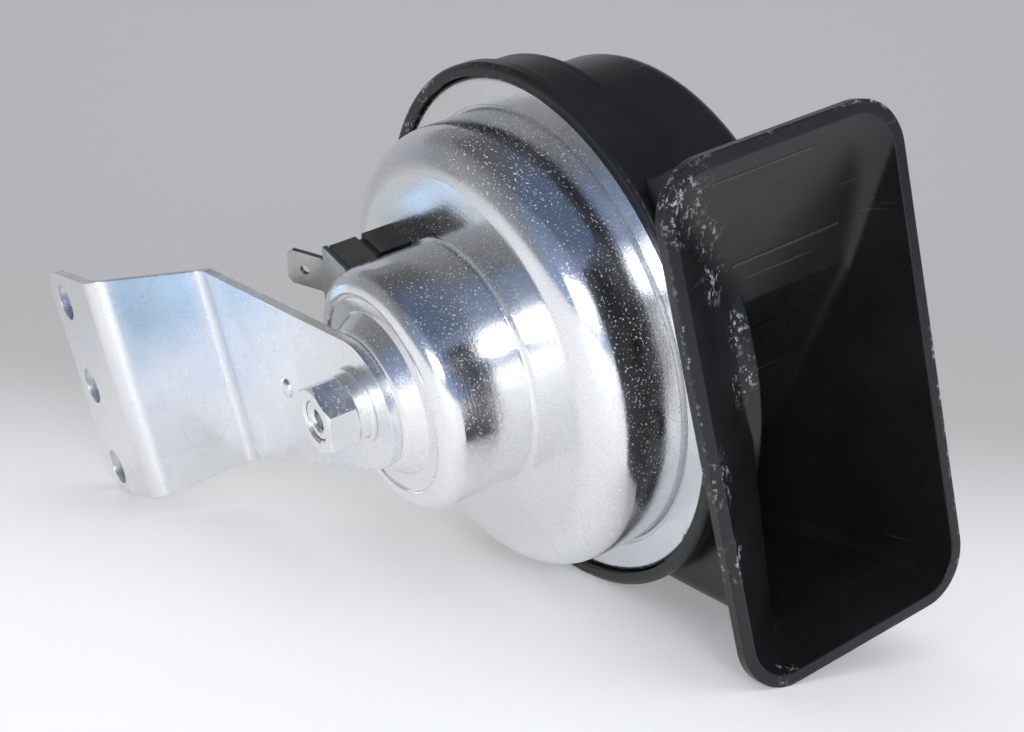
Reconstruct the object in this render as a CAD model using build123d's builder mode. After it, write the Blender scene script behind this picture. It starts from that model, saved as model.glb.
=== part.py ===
"""Electromagnetic snail horn for a car, with its bell, sounder and mounting bracket.

Frame: the origin is the middle of the bracket's three holes, on the face that bolts to the car.
+X runs along the horn towards the mouth of the bell, -Y looks out of the nut end of the sounder,
and +Z is up. All sizes are in millimetres.

The sounder is round about an axis along Y. Heights on that axis are counted from the top of the
crimped rim, positive towards the nut, and radii are counted from the axis.
"""

import os
from math import acos, atan2, cos, degrees, hypot, radians, sin, sqrt

from build123d import *

os.makedirs("parts", exist_ok=True)

# ---------------------------------------------------------------- driving dimensions

# Mounting bracket, folded from one strip
BRACKET_SHEET = 1.5
HOLE_BORE = 6.6
HOLE_PITCH = 16.0
HOLE_TO_FREE_EDGE = 6.8
HOLE_TO_WEB = 17.6
FLANGE_RISE = 21.4
FLANGE_DROP = 21.8
FLANGE_CORNER = 5.5
WEB_HEIGHT = 19.6
WEB_RISE = 17.5
WEB_DROP = 18.2
BEND_INSIDE = 1.6
ARM_LENGTH = 52.0
ARM_END_RADIUS = 10.4
STUD_OFFSET = 2.4
DIMPLE_RADIUS = 1.5
DIMPLE_DEPTH = 0.7
DIMPLE_TAPER = 30.0
DIMPLE_FROM_STUD = 26.5

# Fastening stack on the stud
STUD_DIAMETER = 5.9
STUD_CLEARANCE = 0.15
STUD_SHORT_OF_NUT = 0.5
STUD_HOLLOW = 3.2
STUD_HOLLOW_DEPTH = 3.0
STUD_CHAMFER = 0.4
NUT_ACROSS_FLATS = 10.0
NUT_THICKNESS = 5.0
NUT_TURN = 14.0
SPRING_WASHER_RADIUS = 5.3
SPRING_WASHER_SHEET = 1.5
SPRING_WASHER_SPLIT = 0.9
SPRING_WASHER_TURN = -60.0
FLAT_WASHER_RADIUS = 6.0
FLAT_WASHER_SHEET = 0.8
FLAT_WASHER_EDGE = 0.15

# Drawn steel housing of the sounder
SHEET = 1.2
DOME_HEIGHT = 14.2
DOME_SHOULDER = 6.0
CUP_RADIUS = 19.4
CUP_HEIGHT = 29.3
CUP_SHOULDER = 3.0
CUP_ROOT = 0.8
DOME_ROOT = 0.4
RECESS_RADIUS = 16.2
RECESS_DEPTH = 0.5
RECESS_BEND = 0.2
SEAT_RADIUS = 11.2
SEAT_FOOT_RADIUS = 12.8
SEAT_HEIGHT = 31.7
SEAT_ROOT = 0.7
SEAT_SHOULDER = 0.8

# Rolled rim that holds the diaphragm to the housing
RIM_RADIUS = 41.2
RIM_SHEET = 0.7
RIM_FACE = 5.3
RIM_LIP_GAP = 0.7
RIM_UNDER_LIP = 2.4
RIM_BEND_INSIDE = 0.15
RIM_FIT = 0.2
RIM_SEAT_WIDTH = 1.8
GASKET_SHEET = 0.4
DIAPHRAGM_SHEET = 0.4

# Moulded cover and bell
PLASTIC = 2.2
FIT = 0.1
COLLAR_WALL = 2.1
COLLAR_ABOVE_RIM = 1.0
COLLAR_BAND = 2.6
COLLAR_EDGE = 0.8
COVER_STEP = 1.2
PARTING_HEIGHT = -7.0
WELD_FLANGE = 1.2
COVER_SLEEVE = 0.6
COVER_PLATE = 1.5
COVER_PLATE_DROP = 1.2
INLET_RADIUS = 6.0
SCROLL_STEP = 3.5
SCROLL_DEPTH = 24.3
SCROLL_SHOULDER = 3.2
SPIRAL_PITCH = 7.0
SPIRAL_WALL = 1.6
SPIRAL_OUTER = 28.5
SPIRAL_HALF_TURNS = 5

# Bell: the mouth is a rounded rectangle standing square to X
MOUTH_X = 52.3
MOUTH_TOP = 31.8
MOUTH_BOTTOM = -44.0
MOUTH_NEAR = 9.6
MOUTH_FAR = -32.3
MOUTH_CORNER = 8.0
LIP_DEPTH = 1.7
FLARE_X = 39.2
FLARE_TOP = 8.6
FLARE_BOTTOM = -43.2
FLARE_NEAR = -2.5
FLARE_FAR = -31.2
FLARE_CORNER = 4.5
LIP_WALL = 1.7
INNER_KNEE_X = 41.2
INNER_KNEE_NEAR = -4.2
INNER_KNEE_SLANT = 4.0
DUCT_MIDDLE_X = 21.0
DUCT_MIDDLE_TOP = -17.0
DUCT_MIDDLE_NEAR = -4.0
DUCT_MIDDLE_FAR = -29.6
DUCT_X = -2.0
DUCT_TOP = -26.5
DUCT_NEAR = -6.2
DUCT_FAR = -27.5
RAMP_X = -26.0
RAMP_BOTTOM = -29.6
RAMP_TOP = -16.0
RAMP_FAR = -22.5
RAMP_CORNER = 1.0
DUCT_CORNER = 3.0
DUCT_MIDDLE_CORNER = 4.0
LUG_X = 42.5
LUG_Z = 25.0
LUG_LENGTH = 13.0
LUG_WIDTH = 4.4
LUG_TOP = -0.6

# Terminal, standing on the dome beside the cup
TERMINAL_X = -14.2
TERMINAL_Z = 20.8
TERMINAL_TURN = -25.0
BLOCK_LENGTH = 7.0
BLOCK_WIDTH = 12.4
BLOCK_TOP = 25.0
BASE_TOP = 19.4
BASE_MARGIN = 0.4
BASE_SETBACK = 0.3
BLOCK_WAIST = 0.6
BLOCK_GROOVE = 0.9
BLADE_WIDTH = 6.3
BLADE_SHEET = 0.8
BLADE_REACH = 6.2
BLADE_OVERHANG = 1.6
BLADE_TILT = 32.0
BLADE_HOLE = 1.7
BLADE_NIP = 0.9
BLADE_SHOULDER_INSET = 0.4
BLADE_BEND_INSIDE = 0.3
LEG_X = 1.2
LEG_WIDTH = 4.0
LEG_BOTTOM = 10.0
NECK_SIDE = 0.5
NECK_DEPTH = 1.2
CUP_GAP = 0.3

# Magnet and plunger
CORE_RADIUS = 6.0
CORE_END = 20.0
CORE_HEAD_RADIUS = 9.4
BOBBIN_WALL = 1.0
BOBBIN_CLEARANCE = 0.25
POLE_GAP = 0.8
POLE_PLATE = 1.5
POLE_PLATE_CLEARANCE = 0.3
ARMATURE_RADIUS = 5.9
ARMATURE_CLEARANCE = 0.5
ARMATURE_FOOT = 1.5
ARMATURE_FOOT_STEP = 2.0
ARMATURE_RIVET_RADIUS = 3.6
ARMATURE_RIVET_SHANK = 1.6
ARMATURE_RIVET_HEAD = 1.0
ARMATURE_RIVET_EDGE = 0.5
COLLAR_SEAT = 6.2
COLLAR_STEP = 1.1
COLLAR_LIFT_RADIUS = 8.6
COLLAR_LIFT_SHEET = 1.2
TRAVEL_GAP = 0.2

# Contact set, hung under the dome
CONTACT_TURN = 172.0
CONTACT_FROM_DOME = 11.7
CONTACT_LENGTH = 9.0
CONTACT_WIDTH = 9.0
CONTACT_STRIP = 6.0
CONTACT_SHEET = 0.5
CONTACT_INSULATOR = 1.6
CONTACT_POINT_RADIUS = 1.6
CONTACT_POINT_INWARD = 9.7
CONTACT_SPRING_GAP = 1.2
CONTACT_FIXED_REACH = 2.4
CONTACT_CARRIER_SHEET = 1.2
CONTACT_RIVET_RADIUS = 1.0
CONTACT_RIVET_SPAN = 5.4
CONTACT_RIVET_HEAD = 0.8
SCREW_INWARD = 1.2
SCREW_ASIDE = 10.0
SCREW_RADIUS = 2.0
SCREW_HEAD_RADIUS = 3.2
SCREW_HEAD = 1.4
SCREW_SLOT = 0.8
SCREW_THROUGH = 1.5

# ---------------------------------------------------------------- places worked out from them

DOME_RADIUS = RIM_RADIUS - RIM_FACE
FLANGE_RADIUS = RIM_RADIUS - RIM_SHEET - RIM_FIT
COLLAR_RADIUS = RIM_RADIUS + COLLAR_WALL
COVER_RADIUS = RIM_RADIUS + COVER_STEP
SCROLL_RADIUS = COVER_RADIUS - SCROLL_STEP
CONTACT_CENTRE = DOME_RADIUS - CONTACT_FROM_DOME
CONTACT_POINT_PLACE = CONTACT_CENTRE - CONTACT_POINT_INWARD
SCREW_OUT = CONTACT_CENTRE - SCREW_INWARD
WEB_X = HOLE_TO_WEB
AXIS_X = WEB_X + ARM_LENGTH
AXIS_Z = STUD_OFFSET
ARM_TOP = SEAT_HEIGHT + BRACKET_SHEET
FLANGE_FACE = ARM_TOP + WEB_HEIGHT
RIM_Y = FLANGE_FACE

# The sounder's plane looks along -Y: its x is +X, its y is +Z and its height runs to the nut.
RIM_ORIGIN = (AXIS_X, RIM_Y, AXIS_Z)
RIM = Plane(origin=RIM_ORIGIN, x_dir=(1, 0, 0), z_dir=(0, -1, 0))
# In the section plane x is the radius and y the height.
SECTION = Plane(origin=RIM_ORIGIN, x_dir=(1, 0, 0), z_dir=(0, 0, -1))
SOUNDER_AXIS = Axis(RIM_ORIGIN, (0, -1, 0))


def level(height: float) -> Plane:
    """Plane across the sounder's axis at this height."""
    return RIM.offset(height)


def across(x: float) -> Plane:
    """Plane square to X at this distance from the sounder's axis: x is +Z and y is +Y reversed."""
    return Plane(origin=(AXIS_X + x, RIM_Y, AXIS_Z), x_dir=(0, 0, 1), z_dir=(1, 0, 0))


def turned(height: float, turn: float) -> Plane:
    """Plane at this height whose x points outwards at this turn about the sounder's axis."""
    outwards = (cos(radians(turn)), 0, sin(radians(turn)))
    return Plane(origin=level(height).origin, x_dir=outwards, z_dir=(0, -1, 0))


def finish(piece: BuildPart, name: str) -> None:
    """Label a finished piece and write its STEP file."""
    piece.part.label = name
    export_step(piece.part, f"parts/{name}.step")


# ---------------------------------------------------------------- mounting bracket

FLANGE_END = -HOLE_TO_FREE_EDGE
FOLD_RADIUS = BEND_INSIDE + BRACKET_SHEET / 2
WEB_MIDDLE = WEB_X - BRACKET_SHEET / 2
ARM_MIDDLE = WEB_HEIGHT + BRACKET_SHEET / 2
FOLD_END = WEB_X + BEND_INSIDE

# From above, in X and Y; from the nut end, in X and Z; and from the mouth, in Y and Z.
FROM_ABOVE = Plane.XY
FROM_NUT_END = Plane(origin=(0, 0, 0), x_dir=(1, 0, 0), z_dir=(0, -1, 0))
FROM_MOUTH = Plane(origin=(0, 0, 0), x_dir=(0, 1, 0), z_dir=(1, 0, 0))

# The arm narrows in straight lines from the web to its round end on the stud.
with BuildSketch(FROM_NUT_END) as arm_outline:
    with BuildLine():
        CenterArc((AXIS_X, AXIS_Z), ARM_END_RADIUS, 0, 360)
        Line((WEB_X, WEB_RISE), (WEB_X, -WEB_DROP))
    make_hull()

with BuildPart() as mounting_bracket:
    # The strip on edge: end flange, web and arm, folded twice.
    with BuildSketch(FROM_ABOVE):
        with BuildLine():
            FilletPolyline(
                (FLANGE_END, BRACKET_SHEET / 2),
                (WEB_MIDDLE, BRACKET_SHEET / 2),
                (WEB_MIDDLE, ARM_MIDDLE),
                (AXIS_X + ARM_END_RADIUS, ARM_MIDDLE),
                radius=FOLD_RADIUS,
            )
        trace(line_width=BRACKET_SHEET)
    extrude(amount=FLANGE_RISE + FLANGE_DROP, both=True)
    # Its outline: a flange with rounded corners, and the arm.
    with BuildSketch(FROM_NUT_END) as outline:
        with BuildLine():
            Polyline(
                (FLANGE_END, FLANGE_RISE),
                (FOLD_END, FLANGE_RISE),
                (FOLD_END, -WEB_DROP),
                (FLANGE_END, -FLANGE_DROP),
                close=True,
            )
        make_face()
        fillet(outline.vertices().group_by(Axis.X)[0], FLANGE_CORNER)
        add(arm_outline.sketch_local)
    extrude(amount=WEB_HEIGHT + BRACKET_SHEET, both=True, mode=Mode.INTERSECT)
    # The web's edges run on from the arm's to the flange's.
    with BuildSketch(FROM_MOUTH):
        with BuildLine():
            Polyline(
                (0, FLANGE_RISE),
                (BRACKET_SHEET, FLANGE_RISE),
                (WEB_HEIGHT, WEB_RISE),
                (WEB_HEIGHT + BRACKET_SHEET, WEB_RISE),
                (WEB_HEIGHT + BRACKET_SHEET, -FLANGE_DROP),
                (0, -FLANGE_DROP),
                close=True,
            )
        make_face()
    extrude(amount=2 * AXIS_X, both=True, mode=Mode.INTERSECT)
    # Three holes to the car, the stud's hole and the pressed dimple.
    with BuildSketch(FROM_NUT_END):
        with GridLocations(HOLE_PITCH, HOLE_PITCH, 1, 3):
            Circle(HOLE_BORE / 2)
        with Locations((AXIS_X, AXIS_Z)):
            Circle(STUD_DIAMETER / 2 + STUD_CLEARANCE)
    extrude(amount=WEB_HEIGHT + 2 * BRACKET_SHEET, both=True, mode=Mode.SUBTRACT)
    with BuildSketch(FROM_NUT_END.offset(-WEB_HEIGHT)):
        with Locations((AXIS_X - DIMPLE_FROM_STUD, 0)):
            Circle(DIMPLE_RADIUS)
    extrude(amount=-DIMPLE_DEPTH, taper=DIMPLE_TAPER, mode=Mode.SUBTRACT)
finish(mounting_bracket, "mounting_bracket")

# ---------------------------------------------------------------- stack on the stud

WASHER_TOP = ARM_TOP + FLAT_WASHER_SHEET
SPRING_WASHER_TOP = WASHER_TOP + SPRING_WASHER_SHEET
NUT_TOP = SPRING_WASHER_TOP + NUT_THICKNESS
STUD_TOP = NUT_TOP - STUD_SHORT_OF_NUT
STUD_RADIUS = STUD_DIAMETER / 2
STUD_BORE = STUD_RADIUS + STUD_CLEARANCE

with BuildPart() as flat_washer:
    with BuildSketch(level(ARM_TOP)):
        Circle(FLAT_WASHER_RADIUS)
        Circle(STUD_BORE, mode=Mode.SUBTRACT)
    extrude(amount=FLAT_WASHER_SHEET)
    chamfer(flat_washer.edges().filter_by(GeomType.CIRCLE).group_by(SortBy.RADIUS)[-1], FLAT_WASHER_EDGE)
finish(flat_washer, "flat_washer")

with BuildPart() as spring_washer:
    with BuildSketch(level(WASHER_TOP)):
        Circle(SPRING_WASHER_RADIUS)
        Circle(STUD_BORE, mode=Mode.SUBTRACT)
    extrude(amount=SPRING_WASHER_SHEET)
    # The split slants across the ring.
    split_plane = turned(WASHER_TOP, SPRING_WASHER_TURN)
    with BuildSketch(Plane(origin=split_plane.origin, x_dir=(0, -1, 0), z_dir=split_plane.x_dir)):
        with BuildLine():
            Polyline(
                (0, -SPRING_WASHER_SPLIT),
                (0, 0),
                (SPRING_WASHER_SHEET, SPRING_WASHER_SPLIT),
                (SPRING_WASHER_SHEET, 0),
                close=True,
            )
        make_face()
    extrude(amount=2 * SPRING_WASHER_RADIUS, mode=Mode.SUBTRACT)
finish(spring_washer, "spring_washer")

with BuildPart() as clamp_nut:
    nut_plane = turned(SPRING_WASHER_TOP, NUT_TURN)
    with BuildSketch(nut_plane):
        RegularPolygon(NUT_ACROSS_FLATS / 2, 6, major_radius=False)
    extrude(amount=NUT_THICKNESS)
    # The corners are turned off both faces at thirty degrees.
    NUT_CORNER = NUT_ACROSS_FLATS / sqrt(3)
    NUT_CHAMFER = (NUT_CORNER - NUT_ACROSS_FLATS / 2) / sqrt(3)
    with BuildSketch(SECTION):
        with BuildLine():
            Polyline(
                (0, SPRING_WASHER_TOP),
                (NUT_ACROSS_FLATS / 2, SPRING_WASHER_TOP),
                (NUT_CORNER, SPRING_WASHER_TOP + NUT_CHAMFER),
                (NUT_CORNER, NUT_TOP - NUT_CHAMFER),
                (NUT_ACROSS_FLATS / 2, NUT_TOP),
                (0, NUT_TOP),
                close=True,
            )
        make_face()
    revolve(axis=SOUNDER_AXIS, mode=Mode.INTERSECT)
    with BuildSketch(nut_plane):
        Circle(STUD_BORE)
    extrude(amount=NUT_THICKNESS, mode=Mode.SUBTRACT)
    chamfer(clamp_nut.edges().filter_by(GeomType.CIRCLE).filter_by(
        lambda edge: abs(edge.radius - STUD_BORE) < 0.01), STUD_CHAMFER)
finish(clamp_nut, "clamp_nut")

with BuildPart() as pole_core:
    # Core in the winding, head in the hollow of the seat and the stud through it.
    HEAD_TOP = SEAT_HEIGHT - SHEET
    HEAD_BOTTOM = CUP_HEIGHT - SHEET - RECESS_DEPTH
    with BuildSketch(SECTION):
        with BuildLine():
            Polyline(
                (0, CORE_END),
                (CORE_RADIUS, CORE_END),
                (CORE_RADIUS, HEAD_BOTTOM),
                (CORE_HEAD_RADIUS, HEAD_BOTTOM),
                (CORE_HEAD_RADIUS, HEAD_TOP),
                (STUD_RADIUS, HEAD_TOP),
                (STUD_RADIUS, STUD_TOP),
                (STUD_HOLLOW / 2, STUD_TOP),
                (STUD_HOLLOW / 2, STUD_TOP - STUD_HOLLOW_DEPTH),
                (0, STUD_TOP - STUD_HOLLOW_DEPTH - STUD_HOLLOW / 4),
                close=True,
            )
        make_face()
    revolve(axis=SOUNDER_AXIS)
    chamfer(pole_core.edges().filter_by(GeomType.CIRCLE).sort_by(SOUNDER_AXIS)[-1], STUD_CHAMFER)
finish(pole_core, "pole_core")

# ---------------------------------------------------------------- drawn housing and rolled rim

FLANGE_TOP_HEIGHT = -RIM_SHEET
FLANGE_UNDER = FLANGE_TOP_HEIGHT - SHEET
GASKET_UNDER = FLANGE_UNDER - GASKET_SHEET
DIAPHRAGM_UNDER = GASKET_UNDER - DIAPHRAGM_SHEET
RIM_UNDER = DIAPHRAGM_UNDER - RIM_SHEET
HALF = SHEET / 2
DOME_INSIDE = DOME_HEIGHT - SHEET


def terminal_plane(height: float) -> Plane:
    """Plane at this height from the terminal block's outer corner, with x along the block."""
    along = (cos(radians(TERMINAL_TURN)), 0, sin(radians(TERMINAL_TURN)))
    corner = (AXIS_X + TERMINAL_X, RIM_Y - height, AXIS_Z + TERMINAL_Z)
    return Plane(origin=corner, x_dir=along, z_dir=(0, -1, 0))


NECK_LENGTH = BLADE_SHEET + 2 * NECK_SIDE
NECK_WIDTH = LEG_WIDTH + 2 * NECK_SIDE
BLADE_MIDDLE = -BLOCK_WIDTH / 2


def contact_plane(height: float) -> Plane:
    """Plane at this height whose x runs outwards along the contact set."""
    return turned(height, CONTACT_TURN)


with BuildPart() as housing:
    with BuildSketch(SECTION):
        with BuildLine():
            FilletPolyline(
                (FLANGE_RADIUS, FLANGE_TOP_HEIGHT - HALF),
                (DOME_RADIUS - HALF, FLANGE_TOP_HEIGHT - HALF),
                (DOME_RADIUS - HALF, DOME_HEIGHT - HALF),
                (CUP_RADIUS - HALF, DOME_HEIGHT - HALF),
                (CUP_RADIUS - HALF, CUP_HEIGHT - HALF),
                (RECESS_RADIUS, CUP_HEIGHT - HALF),
                (RECESS_RADIUS - RECESS_DEPTH, CUP_HEIGHT - HALF - RECESS_DEPTH),
                (SEAT_FOOT_RADIUS, CUP_HEIGHT - HALF - RECESS_DEPTH),
                (SEAT_RADIUS - HALF, SEAT_HEIGHT - HALF),
                (STUD_BORE, SEAT_HEIGHT - HALF),
                radius=[
                    DOME_ROOT + HALF,
                    DOME_SHOULDER - HALF,
                    CUP_ROOT + HALF,
                    CUP_SHOULDER - HALF,
                    RECESS_BEND,
                    RECESS_BEND,
                    SEAT_ROOT,
                    SEAT_SHOULDER,
                ],
            )
        trace(line_width=SHEET)
    revolve(axis=SOUNDER_AXIS)
    # The slot for the terminal's neck and the adjusting screw's hole, both in the dome's face.
    with BuildSketch(terminal_plane(DOME_INSIDE - HALF)):
        with Locations((LEG_X, BLADE_MIDDLE)):
            Rectangle(NECK_LENGTH + 2 * FIT, NECK_WIDTH + 2 * FIT)
    extrude(amount=2 * SHEET, mode=Mode.SUBTRACT)
    with BuildSketch(contact_plane(DOME_INSIDE - HALF)):
        with Locations((SCREW_OUT, SCREW_ASIDE)):
            Circle(SCREW_RADIUS + FIT)
    extrude(amount=2 * SHEET, mode=Mode.SUBTRACT)
finish(housing, "housing")

RIM_LIP_RADIUS = DOME_RADIUS + RIM_LIP_GAP

with BuildPart() as crimp_ring:
    with BuildSketch(SECTION):
        with BuildLine():
            FilletPolyline(
                (RIM_LIP_RADIUS, -RIM_SHEET / 2),
                (RIM_RADIUS - RIM_SHEET / 2, -RIM_SHEET / 2),
                (RIM_RADIUS - RIM_SHEET / 2, RIM_UNDER + RIM_SHEET / 2),
                (RIM_RADIUS - RIM_UNDER_LIP, RIM_UNDER + RIM_SHEET / 2),
                radius=RIM_SHEET / 2 + RIM_BEND_INSIDE,
            )
        trace(line_width=RIM_SHEET)
    revolve(axis=SOUNDER_AXIS)
finish(crimp_ring, "crimp_ring")

with BuildPart() as gasket:
    with BuildSketch(level(GASKET_UNDER)):
        Circle(FLANGE_RADIUS)
        Circle(DOME_RADIUS - SHEET, mode=Mode.SUBTRACT)
    extrude(amount=GASKET_SHEET)
finish(gasket, "gasket")

with BuildPart() as diaphragm:
    with BuildSketch(level(DIAPHRAGM_UNDER)):
        Circle(FLANGE_RADIUS)
        Circle(ARMATURE_RIVET_SHANK + FIT, mode=Mode.SUBTRACT)
    extrude(amount=DIAPHRAGM_SHEET)
finish(diaphragm, "diaphragm")

# ---------------------------------------------------------------- moulded cover

COVER_WALL_INSIDE = COVER_RADIUS - PLASTIC
RIM_SEAT_RADIUS = RIM_RADIUS - RIM_SEAT_WIDTH
PLATE_TOP = RIM_UNDER - COVER_PLATE_DROP
PLATE_UNDER = PLATE_TOP - COVER_PLATE
COLLAR_TOP = COLLAR_ABOVE_RIM
COLLAR_UNDER = COLLAR_TOP - COLLAR_BAND
QUARTER_PITCH = SPIRAL_PITCH / 4

# The spiral wall leaves the bell's knee in a straight line and then winds in by half turns.
KNEE_X = FLARE_X + SPIRAL_WALL / 2
KNEE_Z = FLARE_TOP - SPIRAL_WALL / 2
KNEE_TURN = degrees(atan2(KNEE_Z, KNEE_X))
TOUCH_TURN = KNEE_TURN - degrees(acos(SPIRAL_OUTER / hypot(KNEE_X, KNEE_Z)))
TOUCH = (SPIRAL_OUTER * cos(radians(TOUCH_TURN)), SPIRAL_OUTER * sin(radians(TOUCH_TURN)))


def spiral_line(half_turns: int) -> None:
    """Draw the spiral wall's middle line: a tangent, a bottom arc and half turns that shrink."""
    Line((KNEE_X, KNEE_Z), TOUCH)
    CenterArc((0, 0), SPIRAL_OUTER, TOUCH_TURN, -180 - TOUCH_TURN)
    for half_turn in range(half_turns):
        side = -1 if half_turn % 2 == 0 else 1
        radius = SPIRAL_OUTER - QUARTER_PITCH * (2 * half_turn + 1)
        start = 180 if side < 0 else 0
        CenterArc((side * QUARTER_PITCH, 0), radius, start, -180)


with BuildPart() as horn_cover:
    with BuildSketch(SECTION):
        with BuildLine():
            Polyline(
                (RIM_RADIUS + FIT, COLLAR_TOP),
                (COLLAR_RADIUS, COLLAR_TOP),
                (COLLAR_RADIUS, COLLAR_UNDER),
                (COVER_RADIUS, COLLAR_UNDER),
                (COVER_RADIUS, PARTING_HEIGHT),
                (COVER_WALL_INSIDE, PARTING_HEIGHT),
                (COVER_WALL_INSIDE, PLATE_UNDER),
                (INLET_RADIUS, PLATE_UNDER),
                (INLET_RADIUS, PLATE_TOP),
                (RIM_SEAT_RADIUS, PLATE_TOP),
                (RIM_SEAT_RADIUS, RIM_UNDER),
                (RIM_RADIUS + FIT, RIM_UNDER),
                close=True,
            )
        make_face()
    revolve(axis=SOUNDER_AXIS)
    collar_edges = horn_cover.edges().filter_by(GeomType.CIRCLE).group_by(SOUNDER_AXIS)[-1]
    fillet(collar_edges.sort_by(SortBy.RADIUS)[-1], COLLAR_EDGE)
    # The spiral's upper wall hangs from the plate down to the parting plane.
    with BuildSketch(level(PARTING_HEIGHT)):
        with BuildLine():
            spiral_line(SPIRAL_HALF_TURNS)
        trace(line_width=SPIRAL_WALL)
        Circle(COVER_WALL_INSIDE + FIT, mode=Mode.INTERSECT)
    extrude(amount=PLATE_UNDER - PARTING_HEIGHT)
finish(horn_cover, "horn_cover")

# ---------------------------------------------------------------- scroll and bell

SCROLL_INSIDE = SCROLL_RADIUS - PLASTIC
SCROLL_BACK = -SCROLL_DEPTH


def bell_section(
    x: float, bottom: float, top: float, far: float, near: float, corner: float, slant: float = 0.0
) -> Sketch:
    """One rounded section of the bell, square to X, whose near side slants down towards its top."""
    with BuildSketch(across(x)) as section:
        with BuildLine():
            Polyline((bottom, far), (top, far), (top, near - slant), (bottom, near), close=True)
        make_face()
        fillet(section.vertices(), corner)
    return section.sketch


MOUTH = (MOUTH_BOTTOM, MOUTH_TOP, MOUTH_FAR, MOUTH_NEAR)
OUTSIDE_RAMP = bell_section(RAMP_X, RAMP_BOTTOM, RAMP_TOP, RAMP_FAR, PARTING_HEIGHT - WELD_FLANGE, RAMP_CORNER)
OUTSIDE_DUCT = bell_section(DUCT_X, FLARE_BOTTOM, DUCT_TOP, DUCT_FAR, DUCT_NEAR, DUCT_CORNER)
OUTSIDE_MIDDLE = bell_section(
    DUCT_MIDDLE_X, FLARE_BOTTOM, DUCT_MIDDLE_TOP, DUCT_MIDDLE_FAR, DUCT_MIDDLE_NEAR, DUCT_MIDDLE_CORNER
)
OUTSIDE_KNEE = bell_section(FLARE_X, FLARE_BOTTOM, FLARE_TOP, FLARE_FAR, FLARE_NEAR, FLARE_CORNER)
OUTSIDE_LIP = bell_section(MOUTH_X - LIP_DEPTH, *MOUTH, MOUTH_CORNER)

INSIDE_BOTTOM = FLARE_BOTTOM + PLASTIC
INSIDE_RAMP = bell_section(
    RAMP_X + PLASTIC,
    RAMP_BOTTOM + PLASTIC,
    RAMP_TOP - PLASTIC,
    RAMP_FAR + PLASTIC,
    PARTING_HEIGHT - PLASTIC,
    RAMP_CORNER,
)
INSIDE_DUCT = bell_section(
    DUCT_X, INSIDE_BOTTOM, DUCT_TOP - PLASTIC, DUCT_FAR + PLASTIC, DUCT_NEAR - PLASTIC, DUCT_CORNER / 2
)
INSIDE_MIDDLE = bell_section(
    DUCT_MIDDLE_X,
    INSIDE_BOTTOM,
    DUCT_MIDDLE_TOP - PLASTIC,
    DUCT_MIDDLE_FAR + PLASTIC,
    DUCT_MIDDLE_NEAR - PLASTIC,
    DUCT_MIDDLE_CORNER / 2,
)
INSIDE_KNEE = bell_section(
    INNER_KNEE_X,
    INSIDE_BOTTOM,
    KNEE_Z - SPIRAL_WALL / 2,
    FLARE_FAR + PLASTIC,
    INNER_KNEE_NEAR,
    FLARE_CORNER - PLASTIC,
    INNER_KNEE_SLANT,
)
INSIDE_MOUTH = bell_section(
    MOUTH_X + FIT,
    MOUTH_BOTTOM + LIP_WALL,
    MOUTH_TOP - LIP_WALL,
    MOUTH_FAR + LIP_WALL,
    MOUTH_NEAR - LIP_WALL,
    MOUTH_CORNER - LIP_WALL,
)

with BuildPart() as spiral_wall:
    with BuildSketch(level(PARTING_HEIGHT)):
        with BuildLine():
            spiral_line(SPIRAL_HALF_TURNS)
        trace(line_width=SPIRAL_WALL)
    extrude(amount=SCROLL_BACK + PLASTIC / 2 - PARTING_HEIGHT)
    # The outermost run goes on down beside the bell's deeper duct.
    with BuildSketch(level(PARTING_HEIGHT)):
        with BuildLine():
            spiral_line(0)
        trace(line_width=SPIRAL_WALL)
    extrude(amount=FLARE_FAR - PARTING_HEIGHT)

with BuildPart() as bell_outside:
    with BuildSketch(SECTION):
        with BuildLine():
            FilletPolyline(
                (0, SCROLL_BACK),
                (SCROLL_RADIUS, SCROLL_BACK),
                (SCROLL_RADIUS, PARTING_HEIGHT),
                radius=SCROLL_SHOULDER,
            )
            Polyline((SCROLL_RADIUS, PARTING_HEIGHT), (0, PARTING_HEIGHT), (0, SCROLL_BACK))
        make_face()
    revolve(axis=SOUNDER_AXIS)
    # The flange that the cover's wall is welded to.
    with BuildSketch(level(PARTING_HEIGHT)):
        Circle(COVER_RADIUS)
    extrude(amount=-WELD_FLANGE)
    loft(sections=[OUTSIDE_RAMP, OUTSIDE_DUCT, OUTSIDE_MIDDLE, OUTSIDE_KNEE], ruled=True)
    loft(sections=[OUTSIDE_KNEE, OUTSIDE_LIP], ruled=True)
    extrude(OUTSIDE_LIP, amount=LIP_DEPTH)
    with BuildSketch(level(LUG_TOP)):
        with Locations((LUG_X, LUG_Z)):
            Rectangle(LUG_LENGTH, LUG_WIDTH)
    extrude(amount=PARTING_HEIGHT - LUG_TOP)

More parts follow.
